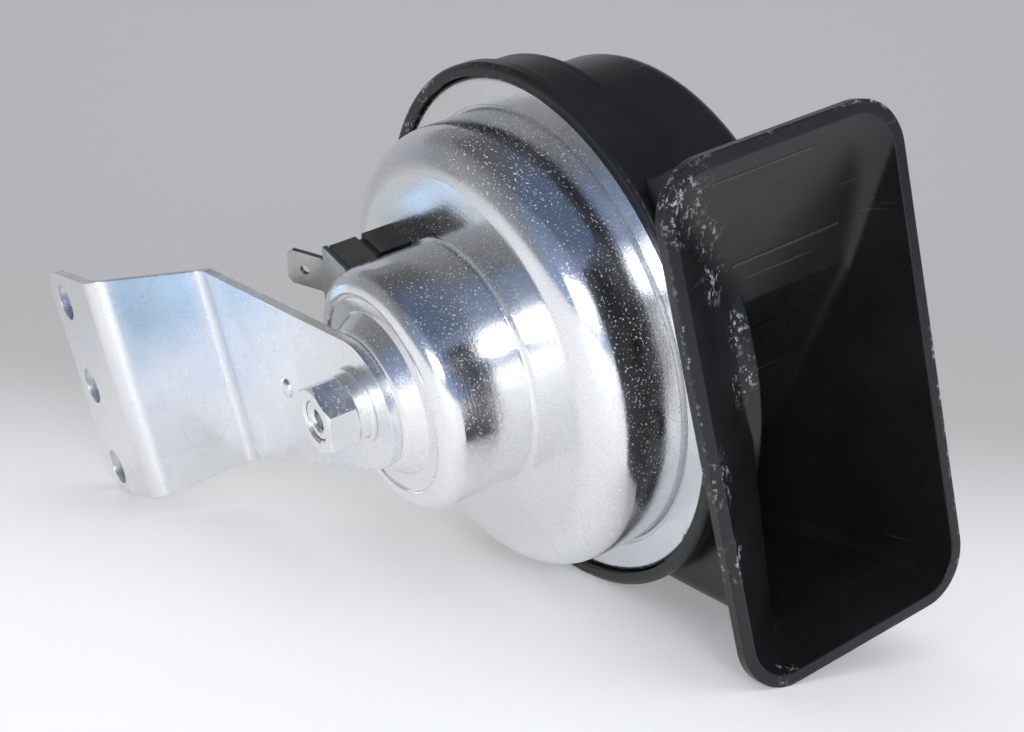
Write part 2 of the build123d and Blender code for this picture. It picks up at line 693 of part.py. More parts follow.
with BuildPart() as bell_inside:
    with BuildSketch(SECTION):
        with BuildLine():
            FilletPolyline(
                (0, SCROLL_BACK + PLASTIC),
                (SCROLL_INSIDE, SCROLL_BACK + PLASTIC),
                (SCROLL_INSIDE, PARTING_HEIGHT),
                radius=SCROLL_SHOULDER - PLASTIC,
            )
            Polyline((SCROLL_INSIDE, PARTING_HEIGHT), (0, PARTING_HEIGHT), (0, SCROLL_BACK + PLASTIC))
        make_face()
    revolve(axis=SOUNDER_AXIS)
    loft(sections=[INSIDE_RAMP, INSIDE_DUCT, INSIDE_MIDDLE, INSIDE_KNEE], ruled=True)
    loft(sections=[INSIDE_KNEE, INSIDE_MOUTH], ruled=True)

    # The scroll's floor stays whole inside the outermost run.
    with BuildSketch(level(SCROLL_BACK + PLASTIC)):
        Circle(SPIRAL_OUTER)
    extrude(amount=FLARE_FAR - SCROLL_BACK, mode=Mode.SUBTRACT)
    # The flange and a thin wall on it go on round the cover where it stands in the bell's near side.
    with BuildSketch(level(PARTING_HEIGHT - WELD_FLANGE)):
        Circle(COVER_RADIUS + FIT + COVER_SLEEVE)
        Circle(SCROLL_INSIDE, mode=Mode.SUBTRACT)
    extrude(amount=MOUTH_NEAR - PARTING_HEIGHT + WELD_FLANGE, mode=Mode.SUBTRACT)

with BuildPart() as snail_bell:
    add(bell_outside.part)
    add(bell_inside.part, mode=Mode.SUBTRACT)
    # The cover's wall and collar stand in the bell's near side.
    with BuildSketch(level(PARTING_HEIGHT)):
        Circle(COVER_RADIUS + FIT)
    extrude(amount=MOUTH_NEAR - PARTING_HEIGHT + 1, mode=Mode.SUBTRACT)
    with BuildSketch(level(COLLAR_UNDER - FIT)):
        Circle(COLLAR_RADIUS + FIT)
    extrude(amount=MOUTH_NEAR - COLLAR_UNDER + 1, mode=Mode.SUBTRACT)
    # The spiral wall stands on the scroll's floor and ends at the bell's knee.
    add(spiral_wall.part & bell_outside.part)
finish(snail_bell, "snail_bell")

# ---------------------------------------------------------------- terminal

BLOCK_BOTTOM = BASE_TOP + BLOCK_GROOVE
NECK_BOTTOM = DOME_INSIDE - NECK_DEPTH
BASE_INSIDE_RADIUS = CUP_RADIUS + CUP_ROOT + FIT

with BuildPart() as terminal_base:
    # Wide foot on the dome, a waist under the block and a neck through the dome's slot.
    with BuildSketch(terminal_plane(DOME_HEIGHT)):
        with Locations((BASE_SETBACK, BASE_MARGIN)):
            Rectangle(BLOCK_LENGTH - BASE_SETBACK, BLOCK_WIDTH + 2 * BASE_MARGIN, align=(Align.MIN, Align.MAX))
    extrude(amount=BASE_TOP - DOME_HEIGHT)
    with BuildSketch(terminal_plane(BASE_TOP)):
        with Locations((BLOCK_WAIST / 2, -BLOCK_WAIST)):
            Rectangle(BLOCK_LENGTH, BLOCK_WIDTH - 2 * BLOCK_WAIST, align=(Align.MIN, Align.MAX))
    extrude(amount=BLOCK_GROOVE)
    with BuildSketch(level(DOME_HEIGHT)):
        Circle(BASE_INSIDE_RADIUS)
    extrude(amount=BLOCK_BOTTOM - DOME_HEIGHT, mode=Mode.SUBTRACT)
    with BuildSketch(terminal_plane(NECK_BOTTOM)):
        with Locations((LEG_X, BLADE_MIDDLE)):
            Rectangle(NECK_LENGTH, NECK_WIDTH)
    extrude(amount=DOME_HEIGHT - NECK_BOTTOM)
    with BuildSketch(terminal_plane(NECK_BOTTOM)):
        with Locations((LEG_X, BLADE_MIDDLE)):
            Rectangle(BLADE_SHEET + FIT, LEG_WIDTH + FIT)
    extrude(amount=BLOCK_BOTTOM - NECK_BOTTOM, mode=Mode.SUBTRACT)
finish(terminal_base, "terminal_base")

with BuildPart() as terminal_block:
    with BuildSketch(terminal_plane(BLOCK_BOTTOM)):
        Rectangle(BLOCK_LENGTH, BLOCK_WIDTH, align=(Align.MIN, Align.MAX))
    extrude(amount=BLOCK_TOP - BLOCK_BOTTOM)
    with BuildSketch(level(BLOCK_BOTTOM)):
        Circle(CUP_RADIUS + CUP_GAP)
    extrude(amount=BLOCK_TOP - BLOCK_BOTTOM, mode=Mode.SUBTRACT)
    with BuildSketch(terminal_plane(BLOCK_BOTTOM)):
        with Locations((LEG_X, BLADE_MIDDLE)):
            Rectangle(BLADE_SHEET + FIT, LEG_WIDTH + FIT)
    extrude(amount=BLOCK_TOP - BLOCK_BOTTOM, mode=Mode.SUBTRACT)
finish(terminal_block, "terminal_block")

with BuildPart() as blade_terminal:
    # A shouldered plate on the block's face, whose narrower blade slants out past the block.
    corner = terminal_plane(0).origin
    along = terminal_plane(0).x_dir
    blade_edge = Plane(origin=corner, x_dir=along, z_dir=along.cross(Vector(0, -1, 0)))
    bend = (-BLADE_OVERHANG, BLOCK_TOP + BLADE_SHEET / 2)
    tip = (
        bend[0] - BLADE_REACH * cos(radians(BLADE_TILT)),
        bend[1] + BLADE_REACH * sin(radians(BLADE_TILT)),
    )
    with BuildSketch(blade_edge.offset((BLOCK_WIDTH - BLADE_WIDTH) / 2)):
        with BuildLine():
            FilletPolyline((BLOCK_LENGTH, bend[1]), bend, tip, radius=BLADE_SHEET / 2 + BLADE_BEND_INSIDE)
        trace(line_width=BLADE_SHEET)
    extrude(amount=BLADE_WIDTH)
    with BuildSketch(terminal_plane(BLOCK_TOP)):
        with Locations((BLADE_SHEET - BLADE_OVERHANG, -BLADE_SHOULDER_INSET)):
            Rectangle(BLOCK_LENGTH, BLOCK_WIDTH - 2 * BLADE_SHOULDER_INSET, align=(Align.MIN, Align.MAX))
    extrude(amount=BLADE_SHEET)
    with BuildSketch(level(BLOCK_TOP)):
        Circle(CUP_RADIUS + CUP_GAP)
    extrude(amount=2 * BLADE_SHEET, mode=Mode.SUBTRACT)
    # The leg goes down through the block and the dome.
    with BuildSketch(terminal_plane(LEG_BOTTOM)):
        with Locations((LEG_X, BLADE_MIDDLE)):
            Rectangle(BLADE_SHEET, LEG_WIDTH)
    extrude(amount=BLOCK_TOP - LEG_BOTTOM)
    # Latch hole and nipped corners in the slanted blade.
    out = Vector(*along) * -cos(radians(BLADE_TILT)) + Vector(0, -1, 0) * sin(radians(BLADE_TILT))
    tip_edges = blade_terminal.edges().filter_by(lambda edge: abs(edge.length - BLADE_SHEET) < 0.01)
    chamfer(tip_edges.sort_by(Axis(corner, out))[-2:], BLADE_NIP)
    blade_face = Plane(
        origin=blade_edge.from_local_coords(Vector(*bend, BLOCK_WIDTH / 2)),
        x_dir=out,
        z_dir=out.cross(blade_edge.z_dir),
    )
    with BuildSketch(blade_face):
        with Locations((BLADE_REACH / 2, 0)):
            Circle(BLADE_HOLE / 2)
    extrude(amount=BLADE_SHEET, both=True, mode=Mode.SUBTRACT)
finish(blade_terminal, "blade_terminal")

# ---------------------------------------------------------------- magnet and plunger

BOBBIN_RADIUS = CUP_RADIUS - SHEET - BOBBIN_CLEARANCE
BOBBIN_BORE = CORE_RADIUS + BOBBIN_CLEARANCE
BOBBIN_TOP = HEAD_BOTTOM - BOBBIN_CLEARANCE
PLATE_FLOOR = DOME_HEIGHT + CUP_ROOT + POLE_PLATE_CLEARANCE
BOBBIN_FLOOR = PLATE_FLOOR + POLE_PLATE
ARMATURE_TOP = CORE_END - POLE_GAP
ARMATURE_WAIST = ARMATURE_RADIUS + COLLAR_STEP
LIFT_TOP = COLLAR_SEAT + COLLAR_LIFT_SHEET

with BuildPart() as pole_plate:
    with BuildSketch(level(PLATE_FLOOR)):
        Circle(BOBBIN_RADIUS + BOBBIN_CLEARANCE - FIT)
        Circle(ARMATURE_RADIUS + ARMATURE_CLEARANCE, mode=Mode.SUBTRACT)
    extrude(amount=POLE_PLATE)
finish(pole_plate, "pole_plate")

with BuildPart() as coil_bobbin:
    with BuildSketch(SECTION):
        with BuildLine():
            Polyline(
                (BOBBIN_BORE, BOBBIN_FLOOR),
                (BOBBIN_RADIUS, BOBBIN_FLOOR),
                (BOBBIN_RADIUS, BOBBIN_FLOOR + BOBBIN_WALL),
                (BOBBIN_BORE + BOBBIN_WALL, BOBBIN_FLOOR + BOBBIN_WALL),
                (BOBBIN_BORE + BOBBIN_WALL, BOBBIN_TOP - BOBBIN_WALL),
                (BOBBIN_RADIUS - BOBBIN_WALL, BOBBIN_TOP - BOBBIN_WALL),
                (BOBBIN_RADIUS - BOBBIN_WALL, BOBBIN_TOP),
                (BOBBIN_BORE, BOBBIN_TOP),
                close=True,
            )
        make_face()
    revolve(axis=SOUNDER_AXIS)
finish(coil_bobbin, "coil_bobbin")

with BuildPart() as coil_winding:
    with BuildSketch(level(BOBBIN_FLOOR + BOBBIN_WALL)):
        Circle(BOBBIN_RADIUS - 2 * BOBBIN_WALL)
        Circle(BOBBIN_BORE + BOBBIN_WALL, mode=Mode.SUBTRACT)
    extrude(amount=BOBBIN_TOP - BOBBIN_FLOOR - 2 * BOBBIN_WALL)
finish(coil_winding, "coil_winding")

with BuildPart() as armature:
    with BuildSketch(SECTION):
        with BuildLine():
            Polyline(
                (0, GASKET_UNDER),
                (ARMATURE_WAIST + ARMATURE_FOOT_STEP, GASKET_UNDER),
                (ARMATURE_WAIST + ARMATURE_FOOT_STEP, GASKET_UNDER + ARMATURE_FOOT),
                (ARMATURE_WAIST, GASKET_UNDER + ARMATURE_FOOT),
                (ARMATURE_WAIST, COLLAR_SEAT),
                (ARMATURE_RADIUS, COLLAR_SEAT),
                (ARMATURE_RADIUS, ARMATURE_TOP),
                (0, ARMATURE_TOP),
                close=True,
            )
        make_face()
    revolve(axis=SOUNDER_AXIS)
    # The rivet's shank ends in the plunger.
    with BuildSketch(level(GASKET_UNDER)):
        Circle(ARMATURE_RIVET_SHANK + FIT / 2)
    extrude(amount=COLLAR_SEAT, mode=Mode.SUBTRACT)
finish(armature, "armature")

with BuildPart() as armature_rivet:
    with BuildSketch(level(DIAPHRAGM_UNDER)):
        Circle(ARMATURE_RIVET_RADIUS)
    extrude(amount=-ARMATURE_RIVET_HEAD)
    with BuildSketch(level(DIAPHRAGM_UNDER)):
        Circle(ARMATURE_RIVET_SHANK)
    extrude(amount=COLLAR_SEAT)
    fillet(armature_rivet.edges().filter_by(GeomType.CIRCLE).sort_by(SOUNDER_AXIS)[0], ARMATURE_RIVET_EDGE)
finish(armature_rivet, "armature_rivet")

with BuildPart() as lift_collar:
    with BuildSketch(level(COLLAR_SEAT)):
        Circle(COLLAR_LIFT_RADIUS)
        Circle(ARMATURE_RADIUS + FIT / 2, mode=Mode.SUBTRACT)
    extrude(amount=COLLAR_LIFT_SHEET)
finish(lift_collar, "lift_collar")

# ---------------------------------------------------------------- contact set

SPRING_UNDER = LIFT_TOP + TRAVEL_GAP
SPRING_TOP = SPRING_UNDER + CONTACT_SHEET
FIXED_TOP = SPRING_UNDER - CONTACT_INSULATOR
FIXED_UNDER = FIXED_TOP - CONTACT_SHEET
LOW_INSULATOR = FIXED_UNDER - CONTACT_INSULATOR
CARRIER_UNDER = DOME_INSIDE - CONTACT_CARRIER_SHEET
POINT_HEIGHT = CONTACT_INSULATOR / 2
STACK_START = CONTACT_CENTRE - CONTACT_LENGTH / 2
SPRING_START = ARMATURE_RADIUS + CONTACT_SPRING_GAP
FIXED_START = CONTACT_POINT_PLACE - CONTACT_FIXED_REACH

with BuildPart() as contact_carrier:
    # A flat plate under the dome, with an ear to one side for the adjusting screw.
    with BuildSketch(contact_plane(CARRIER_UNDER)):
        with Locations((CONTACT_CENTRE, 0)):
            Rectangle(CONTACT_LENGTH, CONTACT_WIDTH)
        with Locations((SCREW_OUT, 0)):
            Rectangle(2 * SCREW_HEAD_RADIUS, SCREW_ASIDE, align=(Align.CENTER, Align.MIN))
        with Locations((SCREW_OUT, SCREW_ASIDE)):
            Circle(SCREW_HEAD_RADIUS)
            Circle(SCREW_RADIUS + FIT, mode=Mode.SUBTRACT)
        with Locations((CONTACT_CENTRE, 0)):
            with GridLocations(CONTACT_RIVET_SPAN, 0, 2, 1):
                Circle(CONTACT_RIVET_RADIUS + FIT, mode=Mode.SUBTRACT)
    extrude(amount=CONTACT_CARRIER_SHEET)
finish(contact_carrier, "contact_carrier")


def stack_piece(under: float, top: float, start: float, width: float) -> Part:
    """A flat strip or block of the contact set with the two rivets' holes."""
    with BuildPart() as piece:
        with BuildSketch(contact_plane(under)):
            with Locations((start, 0)):
                Rectangle(STACK_START + CONTACT_LENGTH - start, width, align=(Align.MIN, Align.CENTER))
            with Locations((CONTACT_CENTRE, 0)):
                with GridLocations(CONTACT_RIVET_SPAN, 0, 2, 1):
                    Circle(CONTACT_RIVET_RADIUS + FIT, mode=Mode.SUBTRACT)
        extrude(amount=top - under)
    return piece.part


with BuildPart() as upper_insulator:
    add(stack_piece(SPRING_TOP, CARRIER_UNDER, STACK_START, CONTACT_WIDTH))
finish(upper_insulator, "upper_insulator")

with BuildPart() as middle_insulator:
    add(stack_piece(FIXED_TOP, SPRING_UNDER, STACK_START, CONTACT_WIDTH))
finish(middle_insulator, "middle_insulator")

with BuildPart() as lower_insulator:
    add(stack_piece(LOW_INSULATOR, FIXED_UNDER, STACK_START, CONTACT_WIDTH))
finish(lower_insulator, "lower_insulator")

with BuildPart() as contact_spring:
    add(stack_piece(SPRING_UNDER, SPRING_TOP, SPRING_START, CONTACT_STRIP))
finish(contact_spring, "contact_spring")

with BuildPart() as fixed_contact:
    add(stack_piece(FIXED_UNDER, FIXED_TOP, FIXED_START, CONTACT_STRIP))
finish(fixed_contact, "fixed_contact")

with BuildPart() as moving_point:
    with BuildSketch(contact_plane(SPRING_UNDER)):
        with Locations((CONTACT_POINT_PLACE, 0)):
            Circle(CONTACT_POINT_RADIUS)
    extrude(amount=-POINT_HEIGHT)
finish(moving_point, "moving_point")

with BuildPart() as fixed_point:
    with BuildSketch(contact_plane(FIXED_TOP)):
        with Locations((CONTACT_POINT_PLACE, 0)):
            Circle(CONTACT_POINT_RADIUS)
    extrude(amount=POINT_HEIGHT)
finish(fixed_point, "fixed_point")

with BuildPart() as contact_rivets:
    with BuildSketch(contact_plane(LOW_INSULATOR)):
        with Locations((CONTACT_CENTRE, 0)):
            with GridLocations(CONTACT_RIVET_SPAN, 0, 2, 1):
                Circle(CONTACT_RIVET_RADIUS)
    extrude(amount=DOME_INSIDE - FIT - LOW_INSULATOR)
    with BuildSketch(contact_plane(LOW_INSULATOR)):
        with Locations((CONTACT_CENTRE, 0)):
            with GridLocations(CONTACT_RIVET_SPAN, 0, 2, 1):
                Circle(2 * CONTACT_RIVET_RADIUS)
    extrude(amount=-CONTACT_RIVET_HEAD)
finish(contact_rivets, "contact_rivets")

SCREW_TIP = CARRIER_UNDER - SCREW_THROUGH

with BuildPart() as adjusting_screw:
    with BuildSketch(contact_plane(SCREW_TIP)):
        with Locations((SCREW_OUT, SCREW_ASIDE)):
            Circle(SCREW_RADIUS)
    extrude(amount=DOME_HEIGHT - SCREW_TIP)
    with BuildSketch(contact_plane(DOME_HEIGHT)):
        with Locations((SCREW_OUT, SCREW_ASIDE)):
            Circle(SCREW_HEAD_RADIUS)
    extrude(amount=SCREW_HEAD)
    with BuildSketch(contact_plane(DOME_HEIGHT + SCREW_HEAD)):
        with Locations((SCREW_OUT, SCREW_ASIDE)):
            Rectangle(2.2 * SCREW_HEAD_RADIUS, SCREW_SLOT)
    extrude(amount=-SCREW_HEAD / 2, mode=Mode.SUBTRACT)
finish(adjusting_screw, "adjusting_screw")
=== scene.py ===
"""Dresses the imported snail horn: its plating, moulded plastic, stud thread, arm pip and a plain studio."""

from __future__ import annotations

import logging
from dataclasses import dataclass, field
from enum import Enum
from math import cos, pi, radians, sin

import bpy
from mathutils import Matrix, Vector


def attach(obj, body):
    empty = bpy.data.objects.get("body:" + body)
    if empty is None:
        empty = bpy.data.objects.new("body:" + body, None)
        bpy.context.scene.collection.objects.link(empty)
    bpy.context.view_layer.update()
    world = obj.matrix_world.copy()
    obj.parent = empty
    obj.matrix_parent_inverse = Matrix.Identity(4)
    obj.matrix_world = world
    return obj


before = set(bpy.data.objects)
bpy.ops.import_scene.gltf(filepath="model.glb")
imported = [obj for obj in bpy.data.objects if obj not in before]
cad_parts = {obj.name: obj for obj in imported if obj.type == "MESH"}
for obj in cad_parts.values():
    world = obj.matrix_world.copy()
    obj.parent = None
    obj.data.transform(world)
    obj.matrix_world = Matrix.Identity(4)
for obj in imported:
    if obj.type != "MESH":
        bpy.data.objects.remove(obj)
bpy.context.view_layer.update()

LOG = logging.getLogger("horn")
MM = 0.001

# The sounder's axis runs along Y through this point, and heights on it count from its rim.
AXIS_X = 69.6 * MM
AXIS_Z = 2.4 * MM
RIM_Y = 52.8 * MM

Socket = bpy.types.NodeSocket
Triple = tuple[float, float, float]
Colour = Triple
Spot = tuple[float, float, float, float]
Span = tuple[float, float]

# How fine a softened edge is sampled, and how much of a patch is solid in its middle.
EDGE_SAMPLES = 6
PATCH_CORE = 0.2


class Body(str, Enum):
    """The rigid bodies that the scene's own pieces ride on."""

    HORN = "body"


class Grain(Enum):
    """How a plated sheet was worked before plating."""

    DRAWN = "drawn"
    ROLLED = "rolled"
    TURNED = "turned"


class Wiring:
    """A material's node tree, with short calls for the nodes that the finishes share."""

    def __init__(self, name: str) -> None:
        """Start an empty tree.

        Args:
            name: The material's name.
        """
        self.material = bpy.data.materials.new(name)
        self.material.use_nodes = True
        self.tree = self.material.node_tree
        self.tree.nodes.clear()
        output = self.tree.nodes.new("ShaderNodeOutputMaterial")
        self.shader = self.tree.nodes.new("ShaderNodeBsdfPrincipled")
        self.tree.links.new(self.shader.outputs[0], output.inputs["Surface"])
        self.place = self.tree.nodes.new("ShaderNodeTexCoord").outputs["Object"]

    def plug(self, value: Socket | float, target: Socket) -> None:
        """Link a socket, or set a plain number, on a target input.

        Args:
            value: The socket or the number.
            target: The input.
        """
        if isinstance(value, bpy.types.NodeSocket):
            self.tree.links.new(value, target)
        else:
            target.default_value = value

    def math(self, kind: str, first: Socket | float, second: Socket | float = 0.0) -> Socket:
        """Add a math node.

        Args:
            kind: Blender's name of the operation.
            first: The first operand.
            second: The second operand.

        Returns:
            The node's result.
        """
        node = self.tree.nodes.new("ShaderNodeMath")
        node.operation = kind
        self.plug(first, node.inputs[0])
        self.plug(second, node.inputs[1])
        return node.outputs[0]

    def fit(self, value: Socket, low: float, high: float, start: float = 0.0, end: float = 1.0) -> Socket:
        """Map a value from low..high to start..end with soft ends.

        Args:
            value: The socket to map.
            low: The input that gives start.
            high: The input that gives end.
            start: The output at low.
            end: The output at high.

        Returns:
            The mapped value.
        """
        node = self.tree.nodes.new("ShaderNodeMapRange")
        node.interpolation_type = "SMOOTHSTEP"
        self.plug(value, node.inputs["Value"])
        for name, number in (("From Min", low), ("From Max", high), ("To Min", start), ("To Max", end)):
            node.inputs[name].default_value = number
        return node.outputs["Result"]

    def stretched(self, scale: Triple, turn: Triple = (0.0, 0.0, 0.0)) -> Socket:
        """Object coordinates about the sounder's axis, turned and then scaled.

        Args:
            scale: The factor along each axis.
            turn: Turns about each axis, in degrees.

        Returns:
            The mapped coordinates.
        """
        shift = self.tree.nodes.new("ShaderNodeMapping")
        shift.inputs["Location"].default_value = (-AXIS_X, -RIM_Y, -AXIS_Z)
        self.plug(self.place, shift.inputs["Vector"])
        node = self.tree.nodes.new("ShaderNodeMapping")
        node.inputs["Rotation"].default_value = [radians(angle) for angle in turn]
        node.inputs["Scale"].default_value = scale
        self.plug(shift.outputs[0], node.inputs["Vector"])
        return node.outputs[0]

    def noise(self, where: Socket, scale: float, detail: float = 2.0, rough: float = 0.5) -> Socket:
        """Add a noise texture.

        Args:
            where: The coordinates it reads.
            scale: Features per metre.
            detail: Octaves.
            rough: How strong the higher octaves are.

        Returns:
            The noise, about 0.5.
        """
        node = self.tree.nodes.new("ShaderNodeTexNoise")
        self.plug(where, node.inputs["Vector"])
        node.inputs["Scale"].default_value = scale
        node.inputs["Detail"].default_value = detail
        node.inputs["Roughness"].default_value = rough
        return node.outputs["Fac"]

    def cells(self, where: Socket, scale: float) -> Socket:
        """Distance to the nearest of many scattered points.

        Args:
            where: The coordinates it reads.
            scale: Points per metre.

        Returns:
            The distance, in cells.
        """
        node = self.tree.nodes.new("ShaderNodeTexVoronoi")
        self.plug(where, node.inputs["Vector"])
        node.inputs["Scale"].default_value = scale
        return node.outputs["Distance"]

    def blend(self, share: Socket | float, first: Socket | Colour, second: Socket | Colour) -> Socket:
        """Mix two colours.

        Args:
            share: How much of the second there is.
            first: The colour at 0.
            second: The colour at 1.

        Returns:
            The mixed colour.
        """
        node = self.tree.nodes.new("ShaderNodeMix")
        node.data_type = "RGBA"
        self.plug(share, node.inputs[0])
        for target, value in ((node.inputs[6], first), (node.inputs[7], second)):
            if isinstance(value, bpy.types.NodeSocket):
                self.tree.links.new(value, target)
            else:
                target.default_value = (*value, 1.0)
        return node.outputs[2]

    def bump(self, height: Socket, distance: float, strength: float, edge: float = 0.0) -> None:
        """Drive the shader's normal from a height.

        Args:
            height: The height, 0 to 1.
            distance: What a height of 1 stands for, in metres.
            strength: How strongly it shows.
            edge: The radius that sharp edges are softened by, in metres.
        """
        node = self.tree.nodes.new("ShaderNodeBump")
        node.inputs["Strength"].default_value = strength
        node.inputs["Distance"].default_value = distance
        self.plug(height, node.inputs["Height"])
        if edge:
            soft = self.tree.nodes.new("ShaderNodeBevel")
            soft.samples = EDGE_SAMPLES
            soft.inputs["Radius"].default_value = edge
            self.plug(soft.outputs[0], node.inputs["Normal"])
        self.plug(node.outputs[0], self.shader.inputs["Normal"])

    def near(self, places: tuple[Spot, ...]) -> Socket:
        """Mask of soft round patches.

        Args:
            places: The patches' centres and radii, in millimetres.

        Returns:
            A mask, 1 in the middle of a patch.
        """
        total: Socket | float = 0.0
        for x, y, z, radius in places:
            node = self.tree.nodes.new("ShaderNodeVectorMath")
            node.operation = "DISTANCE"
            self.plug(self.place, node.inputs[0])
            node.inputs[1].default_value = (x * MM, y * MM, z * MM)
            patch = self.fit(node.outputs["Value"], radius * MM, PATCH_CORE * radius * MM)
            total = self.math("MAXIMUM", total, patch)
        return total

    def between(self, value: Socket, low: float, high: float, soft: float) -> Socket:
        """Mask of the values between two limits, in metres.

        Args:
            value: The value to test.
            low: The lower limit.
            high: The upper limit.
            soft: How wide each limit's slope is.

        Returns:
            A mask, 1 between the limits.
        """
        above = self.fit(value, low - soft, low + soft)
        below = self.fit(value, high + soft, high - soft)
        return self.math("MULTIPLY", above, below)

    def sum(self, *parts: tuple[Socket, float]) -> Socket:
        """Add up values, each with its own weight.

        Args:
            parts: Each value and its weight.

        Returns:
            The weighted sum.
        """
        terms = [self.math("MULTIPLY", value, weight) for value, weight in parts]
        total = terms[0]
        for term in terms[1:]:
            total = self.math("ADD", total, term)
        return total

    def coordinates(self) -> tuple[Socket, Socket, Socket]:
        """Split the object coordinates.

        Returns:
            X, Y and Z, in metres.
        """
        node = self.tree.nodes.new("ShaderNodeSeparateXYZ")
        self.plug(self.place, node.inputs[0])
        return node.outputs[0], node.outputs[1], node.outputs[2]

    def round_the_axis(self) -> tuple[Socket, Socket]:
        """Measure from the sounder's axis.

        Returns:
            The radius from the axis and the height above the rim, in metres.
        """
        x, y, z = self.coordinates()
        across = self.math("SUBTRACT", x, AXIS_X)
        up = self.math("SUBTRACT", z, AXIS_Z)
        radius = self.math("SQRT", self.math("ADD", self.math("POWER", across, 2.0), self.math("POWER", up, 2.0)))
        return radius, self.math("SUBTRACT", RIM_Y, y)


@dataclass(frozen=True)
class ZincPlate:
    """Bright zinc plating over steel, with a bluish passivation, fine crystals and faint drawn lines."""

    name: str
    grain: Grain = Grain.DRAWN
    base: Colour = (0.90, 0.905, 0.91)
    blue: Colour = (0.62, 0.70, 0.88)
    warm: Colour = (0.86, 0.82, 0.75)
    speck: Colour = (0.85, 0.85, 0.84)
    pit: Colour = (0.30, 0.30, 0.31)
    cyan: Colour = (0.46, 0.63, 0.80)
    violet: Colour = (0.74, 0.77, 0.90)
    tint: float = 0.35
    roughness: float = 0.16
    speckle: float = 0.8
    rainbow: bool = False
    edge: float = 0.25 * MM
    # Features per metre of each layer.
    stain_scale: float = 38.0
    warm_scale: float = 30.0
    cloud_scale: float = 60.0
    smear_scale: float = 110.0
    drift_scale: float = 90.0
    crystal_scale: float = 2200.0
    speck_scale: float = 2900.0
    pit_scale: float = 3400.0
    line_scale: float = 1500.0
    # The relief that the crystals, the worked lines and the smears share.
    crystal_relief: float = 0.35
    line_relief: float = 0.5
    smear_relief: float = 0.2
    relief: float = 0.05 * MM
    relief_strength: float = 0.3
    # The bracket's web: its extent along Y, and the heights that the two colours lie at.
    web: Span = (3.5 * MM, 17.5 * MM)
    cyan_rise: Span = (0.5 * MM, 11.0 * MM)
    violet_band: Span = (-5.0 * MM, 4.0 * MM)
    drift: float = 12.0 * MM

    def material(self) -> bpy.types.Material:
        """Build the plating's node tree.

        Returns:
            The material.
        """
        wiring = Wiring(self.name)
        shader = wiring.shader
        where = wiring.place
        stains = wiring.noise(wiring.stretched((1.0, 1.0, 1.0), (20.0, 40.0, 10.0)), self.stain_scale, 2.0, 0.45)
        warmth = wiring.noise(wiring.stretched((1.0, 1.4, 1.0), (70.0, 15.0, 35.0)), self.warm_scale, 2.0, 0.45)
        colour = wiring.blend(wiring.fit(stains, 0.40, 0.75, 0.0, self.tint), self.base, self.blue)
        colour = wiring.blend(wiring.fit(warmth, 0.50, 0.80, 0.0, self.tint), colour, self.warm)
        if self.rainbow:
            colour = self.rainbowed(wiring, colour)
        flecks = wiring.noise(where, self.speck_scale, 1.0, 0.5)
        thick = wiring.fit(wiring.noise(where, self.cloud_scale, 3.0, 0.6), 0.35, 0.7, 0.35, 1.0)
        sparkle = wiring.math("MULTIPLY", wiring.fit(flecks, 0.635, 0.69, 0.0, self.speckle), thick)
        pits = wiring.fit(wiring.noise(where, self.pit_scale, 1.0, 0.5), 0.68, 0.76, 0.0, self.speckle * 0.5)
        colour = wiring.blend(sparkle, colour, self.speck)
        colour = wiring.blend(pits, colour, self.pit)
        wiring.plug(colour, shader.inputs["Base Color"])
        wiring.plug(wiring.math("SUBTRACT", 1.0, sparkle), shader.inputs["Metallic"])
        smears = wiring.noise(where, self.smear_scale, 4.0, 0.6)
        rough = wiring.fit(smears, 0.3, 0.75, self.roughness * 0.75, self.roughness * 1.5)
        rough = wiring.math("ADD", rough, wiring.fit(flecks, 0.6, 0.75, 0.0, 0.15))
        wiring.plug(rough, shader.inputs["Roughness"])
        height = wiring.sum(
            (wiring.cells(where, self.crystal_scale), self.crystal_relief),
            (self.worked_lines(wiring), self.line_relief),
            (smears, self.smear_relief),
        )
        wiring.bump(height, self.relief, self.relief_strength, self.edge)
        return wiring.material

    def rainbowed(self, wiring: Wiring, colour: Socket) -> Socket:
        """Colour the bracket's web where the passivation is thick, cyan above and violet below.

        Args:
            wiring: The tree to build in.
            colour: The plating's colour.

        Returns:
            The coloured plating.
        """
        _, y, z = wiring.coordinates()
        drift = wiring.math("SUBTRACT", wiring.noise(wiring.place, self.drift_scale, 3.0, 0.6), 0.5)
        height = wiring.math("ADD", z, wiring.math("MULTIPLY", drift, self.drift))
        web = wiring.between(y, *self.web, 2.0 * MM)
        upper = wiring.math("MULTIPLY", web, wiring.fit(height, *self.cyan_rise, 0.0, 0.85))
        lower = wiring.math("MULTIPLY", web, wiring.between(height, *self.violet_band, 4.0 * MM))
        colour = wiring.blend(wiring.math("MULTIPLY", lower, 0.4), colour, self.violet)
        return wiring.blend(upper, colour, self.cyan)

    def worked_lines(self, wiring: Wiring) -> Socket:
        """Fine lines that the press, the mill or the lathe left.

        Args:
            wiring: The tree to build in.

        Returns:
            The lines' height.
        """
        if self.grain is Grain.ROLLED:
            return wiring.noise(wiring.stretched((40.0, 40.0, 900.0)), 1.0, 2.0, 0.6)
        radius, height = wiring.round_the_axis()
        node = wiring.tree.nodes.new("ShaderNodeCombineXYZ")
        wiring.plug(wiring.math("MULTIPLY", radius, self.line_scale), node.inputs[0])
        wiring.plug(wiring.math("MULTIPLY", height, self.line_scale), node.inputs[1])
        return wiring.noise(node.outputs[0], 1.0, 2.0, 0.6)


